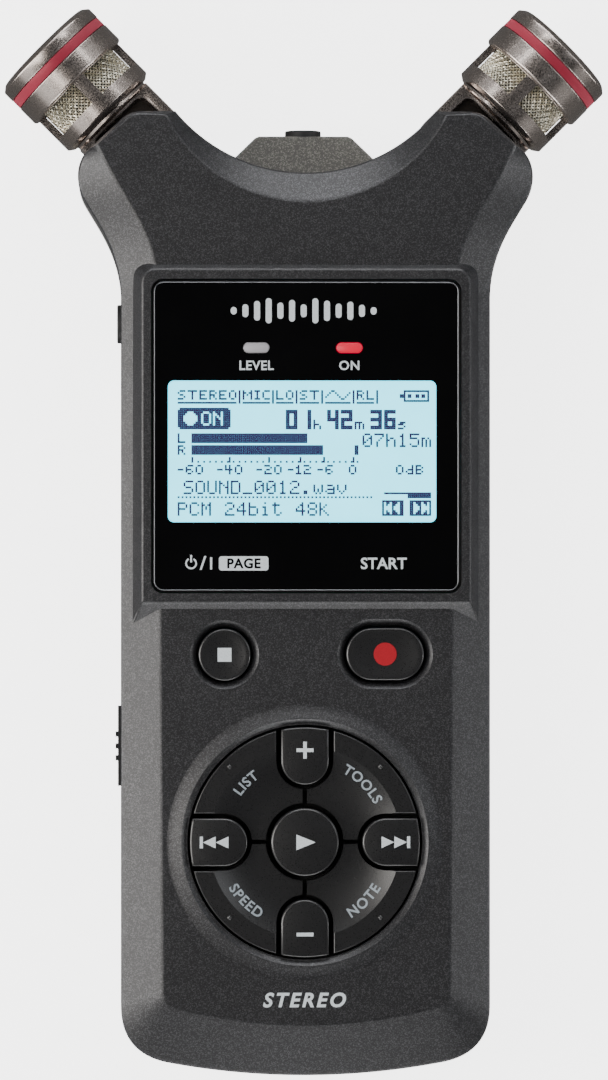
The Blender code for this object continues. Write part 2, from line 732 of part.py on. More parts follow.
def make_cells():
    nub = 1.5
    body = CELL_LENGTH - nub
    nub_radius = 2.7
    profile = ((0, 0), (CELL_RADIUS, 0), (CELL_RADIUS, body), (nub_radius, body))
    profile += ((nub_radius, CELL_LENGTH), (0, CELL_LENGTH))
    for name, side in (("battery_left", -1), ("battery_right", 1)):
        cell = turned(name, profile, "cell_jacket", 24)
        if side > 0:
            cell.data.transform(Matrix.Rotation(math.pi, 4, "Z"))
        start = CELL_Y[0] if side < 0 else CELL_Y[1]
        cell.location = Vector((side * (CELL_RADIUS + 0.2), start, CELL_Z)) * MM


def make_contacts():
    box("positive_contact", (-12.5, -2.5), (-18.4, -17.6), (4.5, 14.5), "bare_steel")
    plate = box("bridge_contact", (-13.0, 13.0), (-71.9, -71.2), (4.5, 14.5), "bare_steel")
    bump = turned("bump", ((0, 0), (3.5, 0), (2.5, 1.0), (0, 1.0)), "bare_steel", 14)
    bump.location = Vector((-7.45, -71.5, CELL_Z)) * MM
    fuse(plate, bump)
    turns = 3
    steps = 12
    path = bpy.data.curves.new("negative_spring", "CURVE")
    path.dimensions = "3D"
    path.bevel_depth = 0.3 * MM
    path.bevel_resolution = 1
    path.use_fill_caps = True
    spline = path.splines.new("POLY")
    spline.points.add(turns * steps)
    for i, point in enumerate(spline.points):
        angle = 2.0 * math.pi * i / steps
        radius = 4.5 - 1.5 * i / (turns * steps)
        along = -14.5 - 4.0 * i / (turns * steps)
        place = Vector((7.45 + radius * math.cos(angle), along, CELL_Z + radius * math.sin(angle)))
        point.co = (*(place * MM), 1.0)
    spring = bpy.data.objects.new("negative_spring", path)
    bpy.context.scene.collection.objects.link(spring)
    path.materials.append(material("bare_steel"))


# ---------------------------------------------------------------- microphones


def mic_arm(name):
    tongue = arc((0.0, 0.0), TONGUE_HALF_WIDTH, 180, 360, 14)
    tongue += [(TONGUE_HALF_WIDTH, 8.1), (-TONGUE_HALF_WIDTH, 8.1)]
    half = TONGUE_HALF_THICKNESS
    arm = loft(name, [(tongue, -half), (tongue, half)], "mic_metal")
    collar = ((0, 7.9), (6.9, 7.9), (6.9, 8.35), (5.6, 8.35), (5.6, 10.4), (0, 10.4))
    fuse(arm, turned("collar", collar, "mic_metal"))
    bore = circle((0.0, 0.0), PIN_RADIUS + GAP, 20)
    cut(arm, loft("bore", [(bore, -9.0), (bore, 9.0)], "mic_metal"))
    return arm


def mic_housing(name):
    """The turned metal body, with four windows between narrow pillars."""
    profile = (
        (6.0, 8.6),
        (7.4, 8.6),
        (CAGE_RADIUS, 9.2),
        (CAGE_RADIUS, 15.3),
        (HEAD_RADIUS, 15.8),
        (HEAD_RADIUS, 18.55),
        (MIC_BORE_RADIUS, 18.55),
        (MIC_BORE_RADIUS, 11.0),
        (6.0, 11.0),
    )
    housing = turned(name, profile, "mic_metal", closed=True)
    band = ((6.9, 11.2), (10.0, 11.2), (10.0, 15.3), (6.9, 15.3))
    windows = turned("windows", band, "mic_metal", closed=True)
    pillar = 1.025
    cut(windows, box("bar", (-12.0, 12.0), (10.0, 16.0), (-pillar, pillar)))
    cut(windows, box("bar", (-pillar, pillar), (10.0, 16.0), (-12.0, 12.0)))
    return cut(housing, windows)


def make_microphone(side):
    """All the pieces that turn about one pivot, under one empty on the pivot's axis."""
    label = "left" if side < 0 else "right"
    hub = bpy.data.objects.new(f"microphone_{label}", None)
    hub.location = Vector((side * PIVOT_X, PIVOT_Y, MIC_Z)) * MM
    hub.rotation_euler = (0.0, 0.0, math.radians(-side * MIC_REST_TURN))
    bpy.context.scene.collection.objects.link(hub)
    head, bore = HEAD_RADIUS, MIC_BORE_RADIUS
    ring = ((bore, 18.75), (head - 0.05, 18.75), (head - 0.05, 20.1), (bore, 20.1))
    cap = ((7.0, 20.3), (head, 20.3), (head, 21.9), (7.98, 22.66), (7.0, 22.66))
    mesh = ((6.3, 11.3), (6.65, 11.3), (6.65, 15.6), (6.3, 15.6))
    grille = ((0, 21.7), (6.7, 21.7), (6.7, 22.3), (0, 22.3))
    capsule = ((0, 16.0), (6.6, 16.0), (6.6, 20.8), (0, 20.8))
    pieces = [
        mic_arm(f"mic_arm_{label}"),
        mic_housing(f"mic_housing_{label}"),
        turned(f"mic_mesh_{label}", mesh, "mic_mesh", closed=True),
        turned(f"mic_ring_{label}", ring, "mic_red", closed=True),
        turned(f"mic_cap_{label}", cap, "mic_metal", closed=True),
        turned(f"mic_grille_{label}", grille, "mic_mesh"),
        turned(f"mic_capsule_{label}", capsule, "brass"),
    ]
    for piece in pieces:
        piece.parent = hub
    pin = post((side * PIVOT_X, PIVOT_Y), PIN_RADIUS, (3.3, 22.1), 20, "bare_steel", f"pivot_pin_{label}")
    return pieces, pin


# ---------------------------------------------------------------- assembly


def main():
    clear_scene()
    make_front_case()
    make_rear_case()
    make_battery_cover()
    make_card_door()
    make_hold_switch()
    make_round_keys()
    make_dial_keys()
    make_display()
    make_boards()
    make_jacks()
    make_sockets()
    make_speaker()
    make_tripod_nut()
    make_screws()
    make_cells()
    make_contacts()
    for side in (-1, 1):
        make_microphone(side)


main()
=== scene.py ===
"""The looks of a handheld stereo recorder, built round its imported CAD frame.

Lengths are in millimetres until a mesh is made, which is in metres. +Z is the display's side and
+Y the microphones' end.
"""

import math

import bmesh
import bpy
from mathutils import Matrix, Vector


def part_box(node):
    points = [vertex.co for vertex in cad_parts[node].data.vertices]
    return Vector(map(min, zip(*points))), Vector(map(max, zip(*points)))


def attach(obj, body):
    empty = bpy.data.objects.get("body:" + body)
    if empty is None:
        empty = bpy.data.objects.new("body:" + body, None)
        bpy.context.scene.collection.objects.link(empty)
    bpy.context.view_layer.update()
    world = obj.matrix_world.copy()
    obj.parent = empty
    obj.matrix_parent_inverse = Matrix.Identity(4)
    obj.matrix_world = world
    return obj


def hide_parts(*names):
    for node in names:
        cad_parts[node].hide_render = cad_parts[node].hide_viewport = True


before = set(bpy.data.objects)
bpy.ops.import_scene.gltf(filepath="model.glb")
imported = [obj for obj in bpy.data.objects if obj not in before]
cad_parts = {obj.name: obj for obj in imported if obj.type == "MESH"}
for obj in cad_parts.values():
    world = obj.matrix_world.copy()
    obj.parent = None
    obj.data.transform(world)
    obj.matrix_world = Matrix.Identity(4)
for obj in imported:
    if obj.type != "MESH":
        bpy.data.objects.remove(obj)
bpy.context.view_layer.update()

MM = 0.001
ROOT = "recorder"


def box_mm(node):
    """A CAD node's lowest and highest corner, in millimetres."""
    low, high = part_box(node)
    return Vector(low) / MM, Vector(high) / MM


FRONT_LOW, FRONT_HIGH = box_mm("front_case")
REAR_HIGH = box_mm("rear_case")[1]
WINDOW_LOW, WINDOW_HIGH = box_mm("display_window")

# Case
HALF_WIDTH = 27.36
BOTTOM_Y = FRONT_LOW.y
TIP_Y = FRONT_HIGH.y
BLOCK_Z = FRONT_HIGH.z
FACE_Z = BLOCK_Z - 1.0
SHOULDER_Z = FACE_Z - 3.0
SEAM_Z = (FRONT_LOW.z + REAR_HIGH.z) / 2
SEAM_GAP = 0.12
REAR_CHAMFER_Z = 3.0
NOTCH = (79.45, 25.03)  # centre's y and radius of the arc between the ears
FACE_NOTCH = (73.0, 23.0)
BLOCK_TOP = (-24.25, 24.25, -9.15, 39.95)  # low and high x, low and high y
WINDOW_RADIUS = 1.7
WINDOW_BEVEL = (0.22, 0.135)  # run and drop of its polished edge
# How far in from the window's outline and how far up, round the section of its silver bead: a painted
# highlight that stands in for the glint on the polished edge.
WINDOW_HIGHLIGHT_BEAD = ((0.28, -0.03), (0.29, 0.02), (0.33, 0.045), (0.37, 0.045), (0.41, 0.02), (0.42, -0.03))
LCD_VIEW = (-20.43, 19.17, 2.61, 23.51)
LIGHTS = {"peak_light_guide": -7.4, "record_light_guide": 6.35}
LIGHT_Y = 28.35
PHONES_JACK_Z = 8.5
INPUT_JACK_Z = 6.8

# Keys
STOP = Vector((-12.06, -16.94))
RECORD = Vector((11.65, -16.85))
DIAL = Vector((-0.2, -44.6))
DIAL_RADIUS = 17.0
KEY_BACK_Z = 22.0

# Microphones: the right one's pivot, and radii round their own axis
PIVOT = Vector((22.9, 57.5, 13.0))
HEAD_RADIUS = 8.93
CAGE_RADIUS = 8.27
PILLAR_HALF = 1.02
WIRE_RADIUS = 0.13
WIRE_SIDES = 4


# ---------------------------------------------------------------- meshes


def link(name, mesh, material):
    mesh.materials.clear()
    mesh.materials.append(material)
    piece = bpy.data.objects.new(name, mesh)
    bpy.context.scene.collection.objects.link(piece)
    return piece


def from_bmesh(name, bm, material, sharp=35.0, recalc=True):
    """A smooth-shaded object from a mesh in millimetres, sharp at edges over the given angle."""
    if recalc:
        bmesh.ops.recalc_face_normals(bm, faces=bm.faces)
    bm.transform(Matrix.Scale(MM, 4))
    mesh = bpy.data.meshes.new(name)
    bm.to_mesh(mesh)
    bm.free()
    piece = link(name, mesh, material)
    smooth(piece, sharp)
    return piece


def smooth(piece, sharp):
    piece.data.shade_smooth()
    piece.data.set_sharp_from_angle(angle=math.radians(sharp))


def dress(piece, body, node=None):
    """The body that a piece moves with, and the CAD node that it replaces."""
    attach(piece, body)
    if node:
        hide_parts(node)


def weld(piece):
    """Joins a loft's last ring to its first where they lie on each other."""
    bm = bmesh.new()
    bm.from_mesh(piece.data)
    bmesh.ops.remove_doubles(bm, verts=bm.verts, dist=1e-7)
    bmesh.ops.recalc_face_normals(bm, faces=bm.faces)
    bm.to_mesh(piece.data)
    bm.free()


def weigh_normals(piece, sharp=30.0):
    """Marks sharp edges, and large flat faces keep their own normals next to narrow rounded ones."""
    smooth(piece, sharp)
    change = piece.modifiers.new("weighted", "WEIGHTED_NORMAL")
    change.keep_sharp = True
    change.weight = 80
    apply_modifiers(piece)


def apply_modifiers(piece):
    bpy.context.view_layer.update()
    graph = bpy.context.evaluated_depsgraph_get()
    result = bpy.data.meshes.new_from_object(piece.evaluated_get(graph))
    piece.modifiers.clear()
    material = piece.data.materials[0]
    piece.data = result
    result.materials.clear()
    result.materials.append(material)
    result.name = piece.name


def combine(piece, other, operation):
    change = piece.modifiers.new("combine", "BOOLEAN")
    change.operation = operation
    change.object = other
    change.solver = "EXACT"
    apply_modifiers(piece)
    bpy.data.objects.remove(other, do_unlink=True)


def cut(piece, *tools):
    for tool in tools:
        combine(piece, tool, "DIFFERENCE")


def fuse(piece, *others):
    for other in others:
        combine(piece, other, "UNION")


def skin(bm, rings, caps=True):
    """Faces between rings of vertices, each ring as long as the next, and over both ends."""
    for low, high in zip(rings, rings[1:]):
        for i in range(len(low)):
            j = (i + 1) % len(low)
            bm.faces.new((low[i], low[j], high[j], high[i]))
    if caps:
        bm.faces.new(rings[0][::-1])
        bm.faces.new(rings[-1])


def loft(name, rings, material, sharp=35.0, caps=True):
    """A solid through rings of (x, y, z) points."""
    bm = bmesh.new()
    skin(bm, [[bm.verts.new(point) for point in ring] for ring in rings], caps)
    return from_bmesh(name, bm, material, sharp)


def level(outline, z):
    return [(x, y, z) for x, y in outline]


def soften(start, middle, end, t):
    """A point on the curve that rounds the corner at the middle."""
    return start.lerp(middle, t).lerp(middle.lerp(end, t), t)


def roll(corners, steps):
    """Rings that round an edge, from the (start, middle, end) at each of its points."""
    return [[soften(*corner, i / steps) for corner in corners] for i in range(steps + 1)]


def prism(name, outline, z_low, z_high, material):
    return loft(name, [level(outline, z_low), level(outline, z_high)], material)


def turned(name, profile, material, segments=72, closed=False, sharp=35.0, place=None):
    """A solid of revolution about Y from (radius, y) points, moved by a matrix in millimetres."""
    bm = bmesh.new()
    rings = []
    for radius, along in profile:
        if radius < 1e-6:
            rings.append([bm.verts.new((0.0, along, 0.0))] * segments)
            continue
        turn = [2.0 * math.pi * i / segments for i in range(segments)]
        rings.append([bm.verts.new((radius * math.cos(a), along, radius * math.sin(a))) for a in turn])
    pairs = list(zip(rings, rings[1:]))
    if closed:
        pairs.append((rings[-1], rings[0]))
    for first, second in pairs:
        for i in range(segments):
            j = (i + 1) % segments
            corners = dict.fromkeys((first[i], first[j], second[j], second[i]))
            if len(corners) > 2:
                bm.faces.new(tuple(corners))
    if place is not None:
        bm.transform(place)
    return from_bmesh(name, bm, material, sharp)


def upright(x, y, z):
    """A turned solid's Y axis stood up along Z at a place."""
    return Matrix.Translation((x, y, z)) @ Matrix.Rotation(math.pi / 2, 4, "X")


def arc(centre, radius, start, end, steps):
    points = []
    for i in range(steps + 1):
        angle = math.radians(start + (end - start) * i / steps)
        points.append((centre[0] + radius * math.cos(angle), centre[1] + radius * math.sin(angle)))
    return points


def circle(centre, radius, segments=72):
    return arc(centre, radius, 0, 360, segments)[:-1]


def rounded(x0, x1, y0, y1, radius, steps=8, low_radius=None):
    """A rectangle with rounded corners; the two at the low y may have a radius of their own."""
    low = radius if low_radius is None else low_radius
    corners = (
        (x1, y0, -1, 1, low),
        (x1, y1, -1, -1, radius),
        (x0, y1, 1, -1, radius),
        (x0, y0, 1, 1, low),
    )
    points = []
    for i, (x, y, sx, sy, turn) in enumerate(corners):
        points += arc((x + sx * turn, y + sy * turn), turn, 90 * i - 90, 90 * i, steps)
    return points


def stadium(centre, length, height, steps=24):
    radius = height / 2
    reach = length / 2 - radius
    right = arc((centre[0] + reach, centre[1]), radius, -90, 90, steps)
    return right + arc((centre[0] - reach, centre[1]), radius, 90, 270, steps)


def bar(x0, x1, y0, y1):
    return [(x0, y0), (x1, y0), (x1, y1), (x0, y1)]


def bezier(controls, steps):
    """Points on a Bezier curve, its last point left out so that curves chain."""
    points = []
    for i in range(steps):
        level = [Vector(control) for control in controls]
        while len(level) > 1:
            level = [a.lerp(b, i / steps) for a, b in zip(level, level[1:])]
        points.append(tuple(level[0]))
    return points


def inset(points, amount):
    """An outline moved inwards along its own normals."""
    moved = []
    for i, (x, y) in enumerate(points):
        before = Vector(points[i - 1])
        after = Vector(points[(i + 1) % len(points)])
        here = Vector((x, y))
        one = (here - before).normalized()
        two = (after - here).normalized()
        normal = Vector((-one.y - two.y, one.x + two.x)).normalized()
        lean = max(0.5, normal.dot(Vector((-one.y, one.x))))
        moved.append(tuple(here + normal * amount / lean))
    return moved


# ---------------------------------------------------------------- materials


class Nodes:
    """A short way to write a material's node tree."""

    def __init__(self, name):
        self.material = bpy.data.materials.new(name)
        self.material.use_nodes = True
        self.tree = self.material.node_tree
        self.shader = self.tree.nodes["Principled BSDF"]

    def add(self, kind, **settings):
        node = self.tree.nodes.new(kind)
        for key, value in settings.items():
            setattr(node, key, value)
        return node

    def link(self, source, output, target, entry):
        self.tree.links.new(source.outputs[output], target.inputs[entry])

    def set(self, **values):
        for key, value in values.items():
            self.shader.inputs[key.replace("_", " ")].default_value = value

    def texture(self, kind, **values):
        node = self.add(kind)
        for key, value in values.items():
            node.inputs[key].default_value = value
        self.link(self.add("ShaderNodeTexCoord"), "Object", node, "Vector")
        return node

    def noise(self, scale, detail=2.0, rough=0.5):
        return self.texture("ShaderNodeTexNoise", Scale=scale, Detail=detail, Roughness=rough)

    def speckle(self, size):
        """Random cells of a size in millimetres: three random values for each of them."""
        cells = self.texture("ShaderNodeTexVoronoi", Scale=1.0 / (size * MM))
        values = self.add("ShaderNodeSeparateColor")
        self.link(cells, "Color", values, "Color")
        return values

    def ramp(self, source, output, stops):
        """Stops of (place, colour), where one number is a grey."""
        node = self.add("ShaderNodeValToRGB")
        elements = node.color_ramp.elements
        while len(elements) < len(stops):
            elements.new(0.5)
        for element, (place, colour) in zip(elements, stops):
            element.position = place
            rgb = (colour,) * 3 if isinstance(colour, float) else colour
            element.color = (*rgb, 1.0)
        self.link(source, output, node, "Fac")
        return node

    def drive(self, entry, source, output, stops):
        """Sets one of the shader's inputs from a texture, through a ramp."""
        self.link(self.ramp(source, output, stops), "Color", self.shader, entry)

    def bump(self, source, output, strength, distance):
        node = self.add("ShaderNodeBump")
        node.inputs["Strength"].default_value = strength
        node.inputs["Distance"].default_value = distance
        self.link(source, output, node, "Height")
        return node


def shade(colour, share):
    return tuple(share * part for part in colour)


def flake_paint(name, dark, light, flake_size):
    """Satin paint with fine metal flakes: each flake has its own tone and its own slight tilt."""
    n = Nodes(name)
    flakes = n.speckle(flake_size)
    speck = n.ramp(flakes, "Red", [(0.0, dark), (0.55, shade(dark, 1.2)), (1.0, light)])
    cloud = n.ramp(n.noise(90.0, 3.0), "Fac", [(0.3, 0.92), (0.7, 1.06)])
    mix = n.add("ShaderNodeMix", data_type="RGBA", blend_type="MULTIPLY")
    mix.inputs["Factor"].default_value = 1.0
    n.link(speck, "Color", mix, "A")
    n.link(cloud, "Color", mix, "B")
    n.link(mix, "Result", n.shader, "Base Color")
    n.drive("Roughness", flakes, "Green", [(0.0, 0.36), (1.0, 0.48)])
    fine = n.bump(n.noise(3600.0, 2.0, 0.6), "Fac", 0.2, 0.00003)
    tilt = n.bump(flakes, "Blue", 0.12, 0.00002)
    n.link(fine, "Normal", tilt, "Normal")
    n.link(tilt, "Normal", n.shader, "Normal")
    n.set(Metallic=0.35, Specular_IOR_Level=0.9)
    return n.material


def blasted_metal(name, colour, roughness, spread=0.25, metallic=1.0):
    """Sand-blasted, anodised aluminium: a fine grain, with faint darker and lighter clouds."""
    n = Nodes(name)
    grain = n.speckle(0.12)
    both = n.add("ShaderNodeMath", operation="ADD")
    n.link(grain, "Red", both, 0)
    n.link(n.noise(260.0, 3.0, 0.55), "Fac", both, 1)
    half = n.add("ShaderNodeMath", operation="MULTIPLY")
    n.link(both, "Value", half, 0)
    half.inputs[1].default_value = 0.5
    clouds = [(0.15, shade(colour, 1 - spread)), (0.85, shade(colour, 1 + spread))]
    n.drive("Base Color", half, "Value", clouds)
    n.drive("Roughness", grain, "Green", [(0.0, roughness - 0.04), (1.0, roughness + 0.07)])
    n.link(n.bump(grain, "Blue", 0.12, 0.00002), "Normal", n.shader, "Normal")
    n.set(Metallic=metallic)
    return n.material


def finish(name, noise, tint, gloss=None, light=None, relief=None, **values):
    """A material whose colour, gloss, own light and relief follow one noise."""
    n = Nodes(name)
    grain = n.noise(*noise)
    for entry, stops in (("Base Color", tint), ("Roughness", gloss), ("Emission Color", light)):
        if stops:
            n.drive(entry, grain, "Fac", stops)
    if relief:
        n.link(n.bump(grain, "Fac", *relief), "Normal", n.shader, "Normal")
    n.set(**values)
    return n.material


def moulded_black(name, tone, roughness, grain_size, strength, gloss_spread=0.08, shine=0.5):
    """Black moulded plastic with a spark-eroded grain."""
    noise = (1.0 / (grain_size * MM), 3.0, 0.6)
    tint = [(0.3, shade(tone, 0.8)), (0.72, shade(tone, 1.35))]
    gloss = [(0.3, roughness - gloss_spread), (0.7, roughness + gloss_spread)]
    return finish(name, noise, tint, gloss, relief=(strength, 0.00005), Specular_IOR_Level=shine)


def lamp_plastic(name, colour, glow, lamp=None):
    """A lit plastic: its own colour, and light of its lamp's colour, both a little uneven."""
    tint, light = ([(0.3, shade(tone, 0.94)), (0.7, tone)] for tone in (colour, lamp or colour))
    return finish(name, (260.0,), tint, light=light, Emission_Strength=glow, Roughness=0.35)


def print_ink(name, colour):
    """Screen-printed ink, slightly mottled."""
    return finish(name, (5200.0,), [(0.35, shade(colour, 0.86)), (0.6, colour)], Roughness=0.5)


def drawn_steel(name, colour, roughness):
    tint = [(0.3, shade(colour, 0.8)), (0.7, colour)]
    gloss = [(0.3, roughness), (0.7, roughness + 0.15)]
    return finish(name, (1800.0, 4.0, 0.7), tint, gloss, Metallic=1.0)


def floor_paper():
    """The lit white sheet that the object lies on."""
    white = [(0.3, 0.84), (0.7, 0.86)]
    return finish("floor_paper", (300.0, 3.0), white, light=white, Emission_Strength=4.4, Roughness=0.9)


FRONT_PAINT = flake_paint("front_flake_paint", (0.0100, 0.0100, 0.0115), (0.066, 0.066, 0.070), 0.13)
REAR_PAINT = flake_paint("rear_flake_paint", (0.068, 0.065, 0.057), (0.215, 0.205, 0.182), 0.15)
KEY_BLACK = moulded_black("key_satin", (0.0095, 0.0095, 0.010), 0.30, 0.16, 0.05, 0.04, 0.95)
TRIM_BLACK = moulded_black("trim_black", (0.010, 0.010, 0.011), 0.45, 0.2, 0.2)
# Near-black; it shows only as the discs just inside the jacks, painted shade of the deep holes, and is
# otherwise on cutters.
SHADE_BLACK = moulded_black("painted_shade_black", (0.004, 0.004, 0.004), 0.8, 0.3, 0.2, 0.05)
FELT_BLACK = moulded_black("capsule_felt", (0.012, 0.011, 0.010), 0.85, 0.12, 0.6, 0.05)
RUBBER = moulded_black("mat_rubber", (0.02, 0.02, 0.02), 0.75, 0.3, 0.2)
# The polished window has faint wipe marks in its gloss.
WINDOW_BLACK = finish(
    "window_gloss",
    (60.0, 5.0, 0.65),
    [(0.3, (0.0015, 0.0015, 0.0016)), (0.8, (0.0025, 0.0025, 0.0027))],
    [(0.35, 0.05), (0.75, 0.13)],
    Specular_IOR_Level=0.9,
)
INK_WHITE = print_ink("white_ink", (0.70, 0.76, 0.79))
INK_GREY = print_ink("grey_ink", (0.33, 0.38, 0.42))
INK_RED = print_ink("red_ink", (0.40, 0.0, 0.010))
LCD_BACK = lamp_plastic("lcd_background", (0.30, 0.62, 0.68), 3.2, (0.06, 0.64, 0.86))
LCD_INK = lamp_plastic("lcd_ink", (0.022, 0.016, 0.06), 0.05, (0.2, 0.12, 0.9))
LIGHT_OFF = lamp_plastic("light_off", (0.42, 0.41, 0.43), 0.02)
LIGHT_RED = lamp_plastic("light_red", (0.55, 0.005, 0.03), 0.5, (1.0, 0.0, 0.05))
MIC_METAL = blasted_metal("mic_gunmetal", (0.54, 0.475, 0.435), 0.25)
# The near-black plate in each microphone's pocket is painted shade of the deep pocket.
MIC_POCKET_PAINTED_SHADE = blasted_metal("mic_pocket_painted_shade", (0.05, 0.043, 0.038), 0.4)
MIC_RED = blasted_metal("mic_red_anodised", (0.29, 0.018, 0.04), 0.42, 0.12, 0.25)
MESH_WIRE = finish(
    "mesh_wire",
    (2400.0, 3.0),
    [(0.3, (0.46, 0.43, 0.34)), (0.7, (0.80, 0.76, 0.62))],
    [(0.3, 0.42), (0.7, 0.26)],
    Metallic=0.85,
)
# Silver of the window's bead, a painted highlight for the glint on the glass's polished edge.
HIGHLIGHT_SILVER = drawn_steel("painted_highlight_silver", (0.33, 0.34, 0.36), 0.3)
STEEL = drawn_steel("plated_steel", (0.62, 0.61, 0.58), 0.22)
DARK_STEEL = drawn_steel("screw_steel", (0.10, 0.10, 0.10), 0.3)
BRASS = drawn_steel("turned_brass", (0.72, 0.52, 0.24), 0.25)
CIRCUIT = moulded_black("circuit_green", (0.02, 0.12, 0.05), 0.4, 0.5, 0.1)
CELL_JACKET = moulded_black("cell_jacket", (0.02, 0.03, 0.16), 0.35, 0.6, 0.05)


# ---------------------------------------------------------------- case


def half_outline(bottom, corner_x, corner_y, side_low, side_high, ear, tip, notch, notch_start):
    """Left half of a case outline, from the bottom centre to the top centre."""
    points = [(corner_x * i / 12, bottom(corner_x * i / 12)) for i in range(12)]
    points += bezier(((corner_x, bottom(corner_x)), (side_low[0], corner_y), side_low), 14)
    points += [side_low]
    points += bezier((side_high, *ear[:3]), 14)
    points += bezier((ear[2], *ear[3:]), 14)
    points += [ear[5]]
    points += bezier(tip, 8)
    points += [tip[2]]
    points += [(notch_start * (1 - i / 28), notch(notch_start * (1 - i / 28))) for i in range(29)]
    return points


def mirrored(half):
    return [(-x, y) for x, y in half] + half[-2:0:-1]


# The hollow inside both cases
CAVITY = rounded(-25.5, 25.5, -75.0, 46.0, 5.0)
QUARTER_TURN = Matrix.Rotation(math.pi / 2, 4, "Z")  # takes +Y to -X


def arc_up(lowest, radius):
    return lambda x: lowest + radius - math.sqrt(radius * radius - x * x)


def arc_down(centre_y, radius):
    return lambda x: centre_y - math.sqrt(radius * radius - x * x)


def silhouette():
    ear = ((-27.5, 42.5), (-30.6, 46.6), (-32.6, 50.0), (-34.1, 52.4), (-34.2, 55.6), (-32.4, 57.6))
    tip = ((-27.2, 62.4), (-26.0, TIP_Y), (-24.0, TIP_Y))
    side = ((-HALF_WIDTH, -69.0), (-HALF_WIDTH, 36.0))
    return mirrored(
        half_outline(arc_up(BOTTOM_Y, 110.0), -19.7, -76.33, *side, ear, tip, arc_down(*NOTCH), -19.29)
    )


def face_edge():
    """Where the chamfers meet the flat face; point for point with the silhouette."""
    ear = ((-22.3, 43.0), (-24.2, 46.4), (-26.3, 50.0), (-27.6, 52.2), (-29.4, 55.3), (-30.9, 58.3))
    tip = ((-27.0, 62.0), (-26.0, 63.1), (-24.2, 63.15))
    side = ((-21.2, -66.8), (-21.9, 37.5))
    return mirrored(
        half_outline(arc_up(-71.5, 74.0), -19.5, -68.5, *side, ear, tip, arc_down(*FACE_NOTCH), -20.6)
    )


SHELL_SOFTNESS = 0.35
STEEP_WIDTH = 1.5  # a chamfer narrower than this gets a wider rounding at its top


def shell_rings(seam_z, shoulder_z, face_z):
    """Rings from the seam to the flat face, with the two ridges of the chamfer rounded."""
    up = math.copysign(1.0, face_z - seam_z)
    outer = silhouette()
    shoulder = []
    rim = []
    for (x, y), (edge_x, edge_y) in zip(outer, face_edge()):
        across = Vector((edge_x, edge_y)) - Vector((x, y))
        width = max(across.length, 0.05)
        slope = Vector((across.x, across.y, face_z - shoulder_z))
        reach = min(SHELL_SOFTNESS, 0.4 * width)
        steep = max(0.0, 1.0 - width / STEEP_WIDTH)
        ridge = Vector((x, y, shoulder_z))
        start = Vector((x, y, shoulder_z - up * reach))
        shoulder.append((start, ridge, ridge + slope * (reach / width)))
        ridge = Vector((edge_x, edge_y, face_z))
        start = ridge - slope * (reach / width * (1.0 - 0.7 * steep))
        end = ridge + Vector((across.x, across.y, 0.0)) * ((reach + 0.55 * steep) / width)
        rim.append((start, ridge, end))
    rings = [level(inset(outer, 0.25), seam_z), level(outer, seam_z + up * 0.25)]
    return rings + roll(shoulder, 5) + roll(rim, 5)


def shell(name, seam_z, shoulder_z, face_z, material):
    rings = shell_rings(seam_z, shoulder_z, face_z)
    return loft(name, rings if face_z > seam_z else rings[::-1], material)


def swing_slot(side):
    """The space in which a microphone's tongue turns."""
    radius = 7.3
    low = arc((0.0, 0.0), radius, 225, 315, 24)
    reach = 21.0
    outline = low + [(low[-1][0] + reach, low[-1][1] + reach), (low[0][0] - reach, low[0][1] + reach)]
    outline = [(x + side * PIVOT.x, y + PIVOT.y) for x, y in outline]
    return prism("slot", outline, PIVOT.z - 4.6, PIVOT.z + 4.6, SHADE_BLACK)


RECESS_DEPTH = 1.0
RECESS_LIP = 0.35
# Each key's centre, how much longer than high its recess is, and the recess's lengths from its
# outer edge to its straight hole.
KEY_RECESSES = ((STOP, 0.0, (10.2, 8.9, 8.3)), (RECORD, 3.76, (14.1, 12.8, 12.2)))


def recess(wide, middle, narrow):
    """A key's recess: a soft funnel through the face, then a straight hole."""
    heights = (-RECESS_DEPTH, -RECESS_LIP, 0.0)
    corners = []
    for points in zip(narrow, middle, wide):
        corners.append([Vector((*point, z)) for point, z in zip(points, heights)])
    rings = [level(narrow, FACE_Z - 4.0), level(narrow, FACE_Z - RECESS_DEPTH)]
    rings += [[point + Vector((0, 0, FACE_Z)) for point in ring] for ring in roll(corners, 4)[1:]]
    return loft("recess", rings + [level(wide, FACE_Z + 3.0)], FRONT_PAINT)


def make_front_shell():
    case = shell("front_shell", FRONT_LOW.z - SEAM_GAP / 2, SHOULDER_Z, FACE_Z, FRONT_PAINT)
    fuse(case, display_block(), dial_lip())
    roof = rounded(-21.0, 21.0, -69.0, 46.0, 2.0)
    cut(case, loft("cavity", [level(CAVITY, 10.0), level(CAVITY, 20.8), level(roof, 23.2)], SHADE_BLACK))
    x0, x1, y0, y1 = WINDOW_LOW.x, WINDOW_HIGH.x, WINDOW_LOW.y, WINDOW_HIGH.y
    gap = 0.14
    pocket = rounded(x0 - gap, x1 + gap, y0 - gap, y1 + gap, WINDOW_RADIUS + 0.1)
    cut(case, prism("pocket", pocket, 20.0, 30.0, FRONT_PAINT))
    for centre, extra, lengths in KEY_RECESSES:
        cut(case, recess(*(stadium(centre, length + 0.001, length - extra) for length in lengths)))
    cut(case, prism("dial_hole", circle(DIAL, DIAL_RADIUS + 0.35, 120), 18.0, 30.0, FRONT_PAINT))
    cut(case, swing_slot(-1), swing_slot(1), hold_window())
    weigh_normals(case)
    dress(case, ROOT, "front_case")


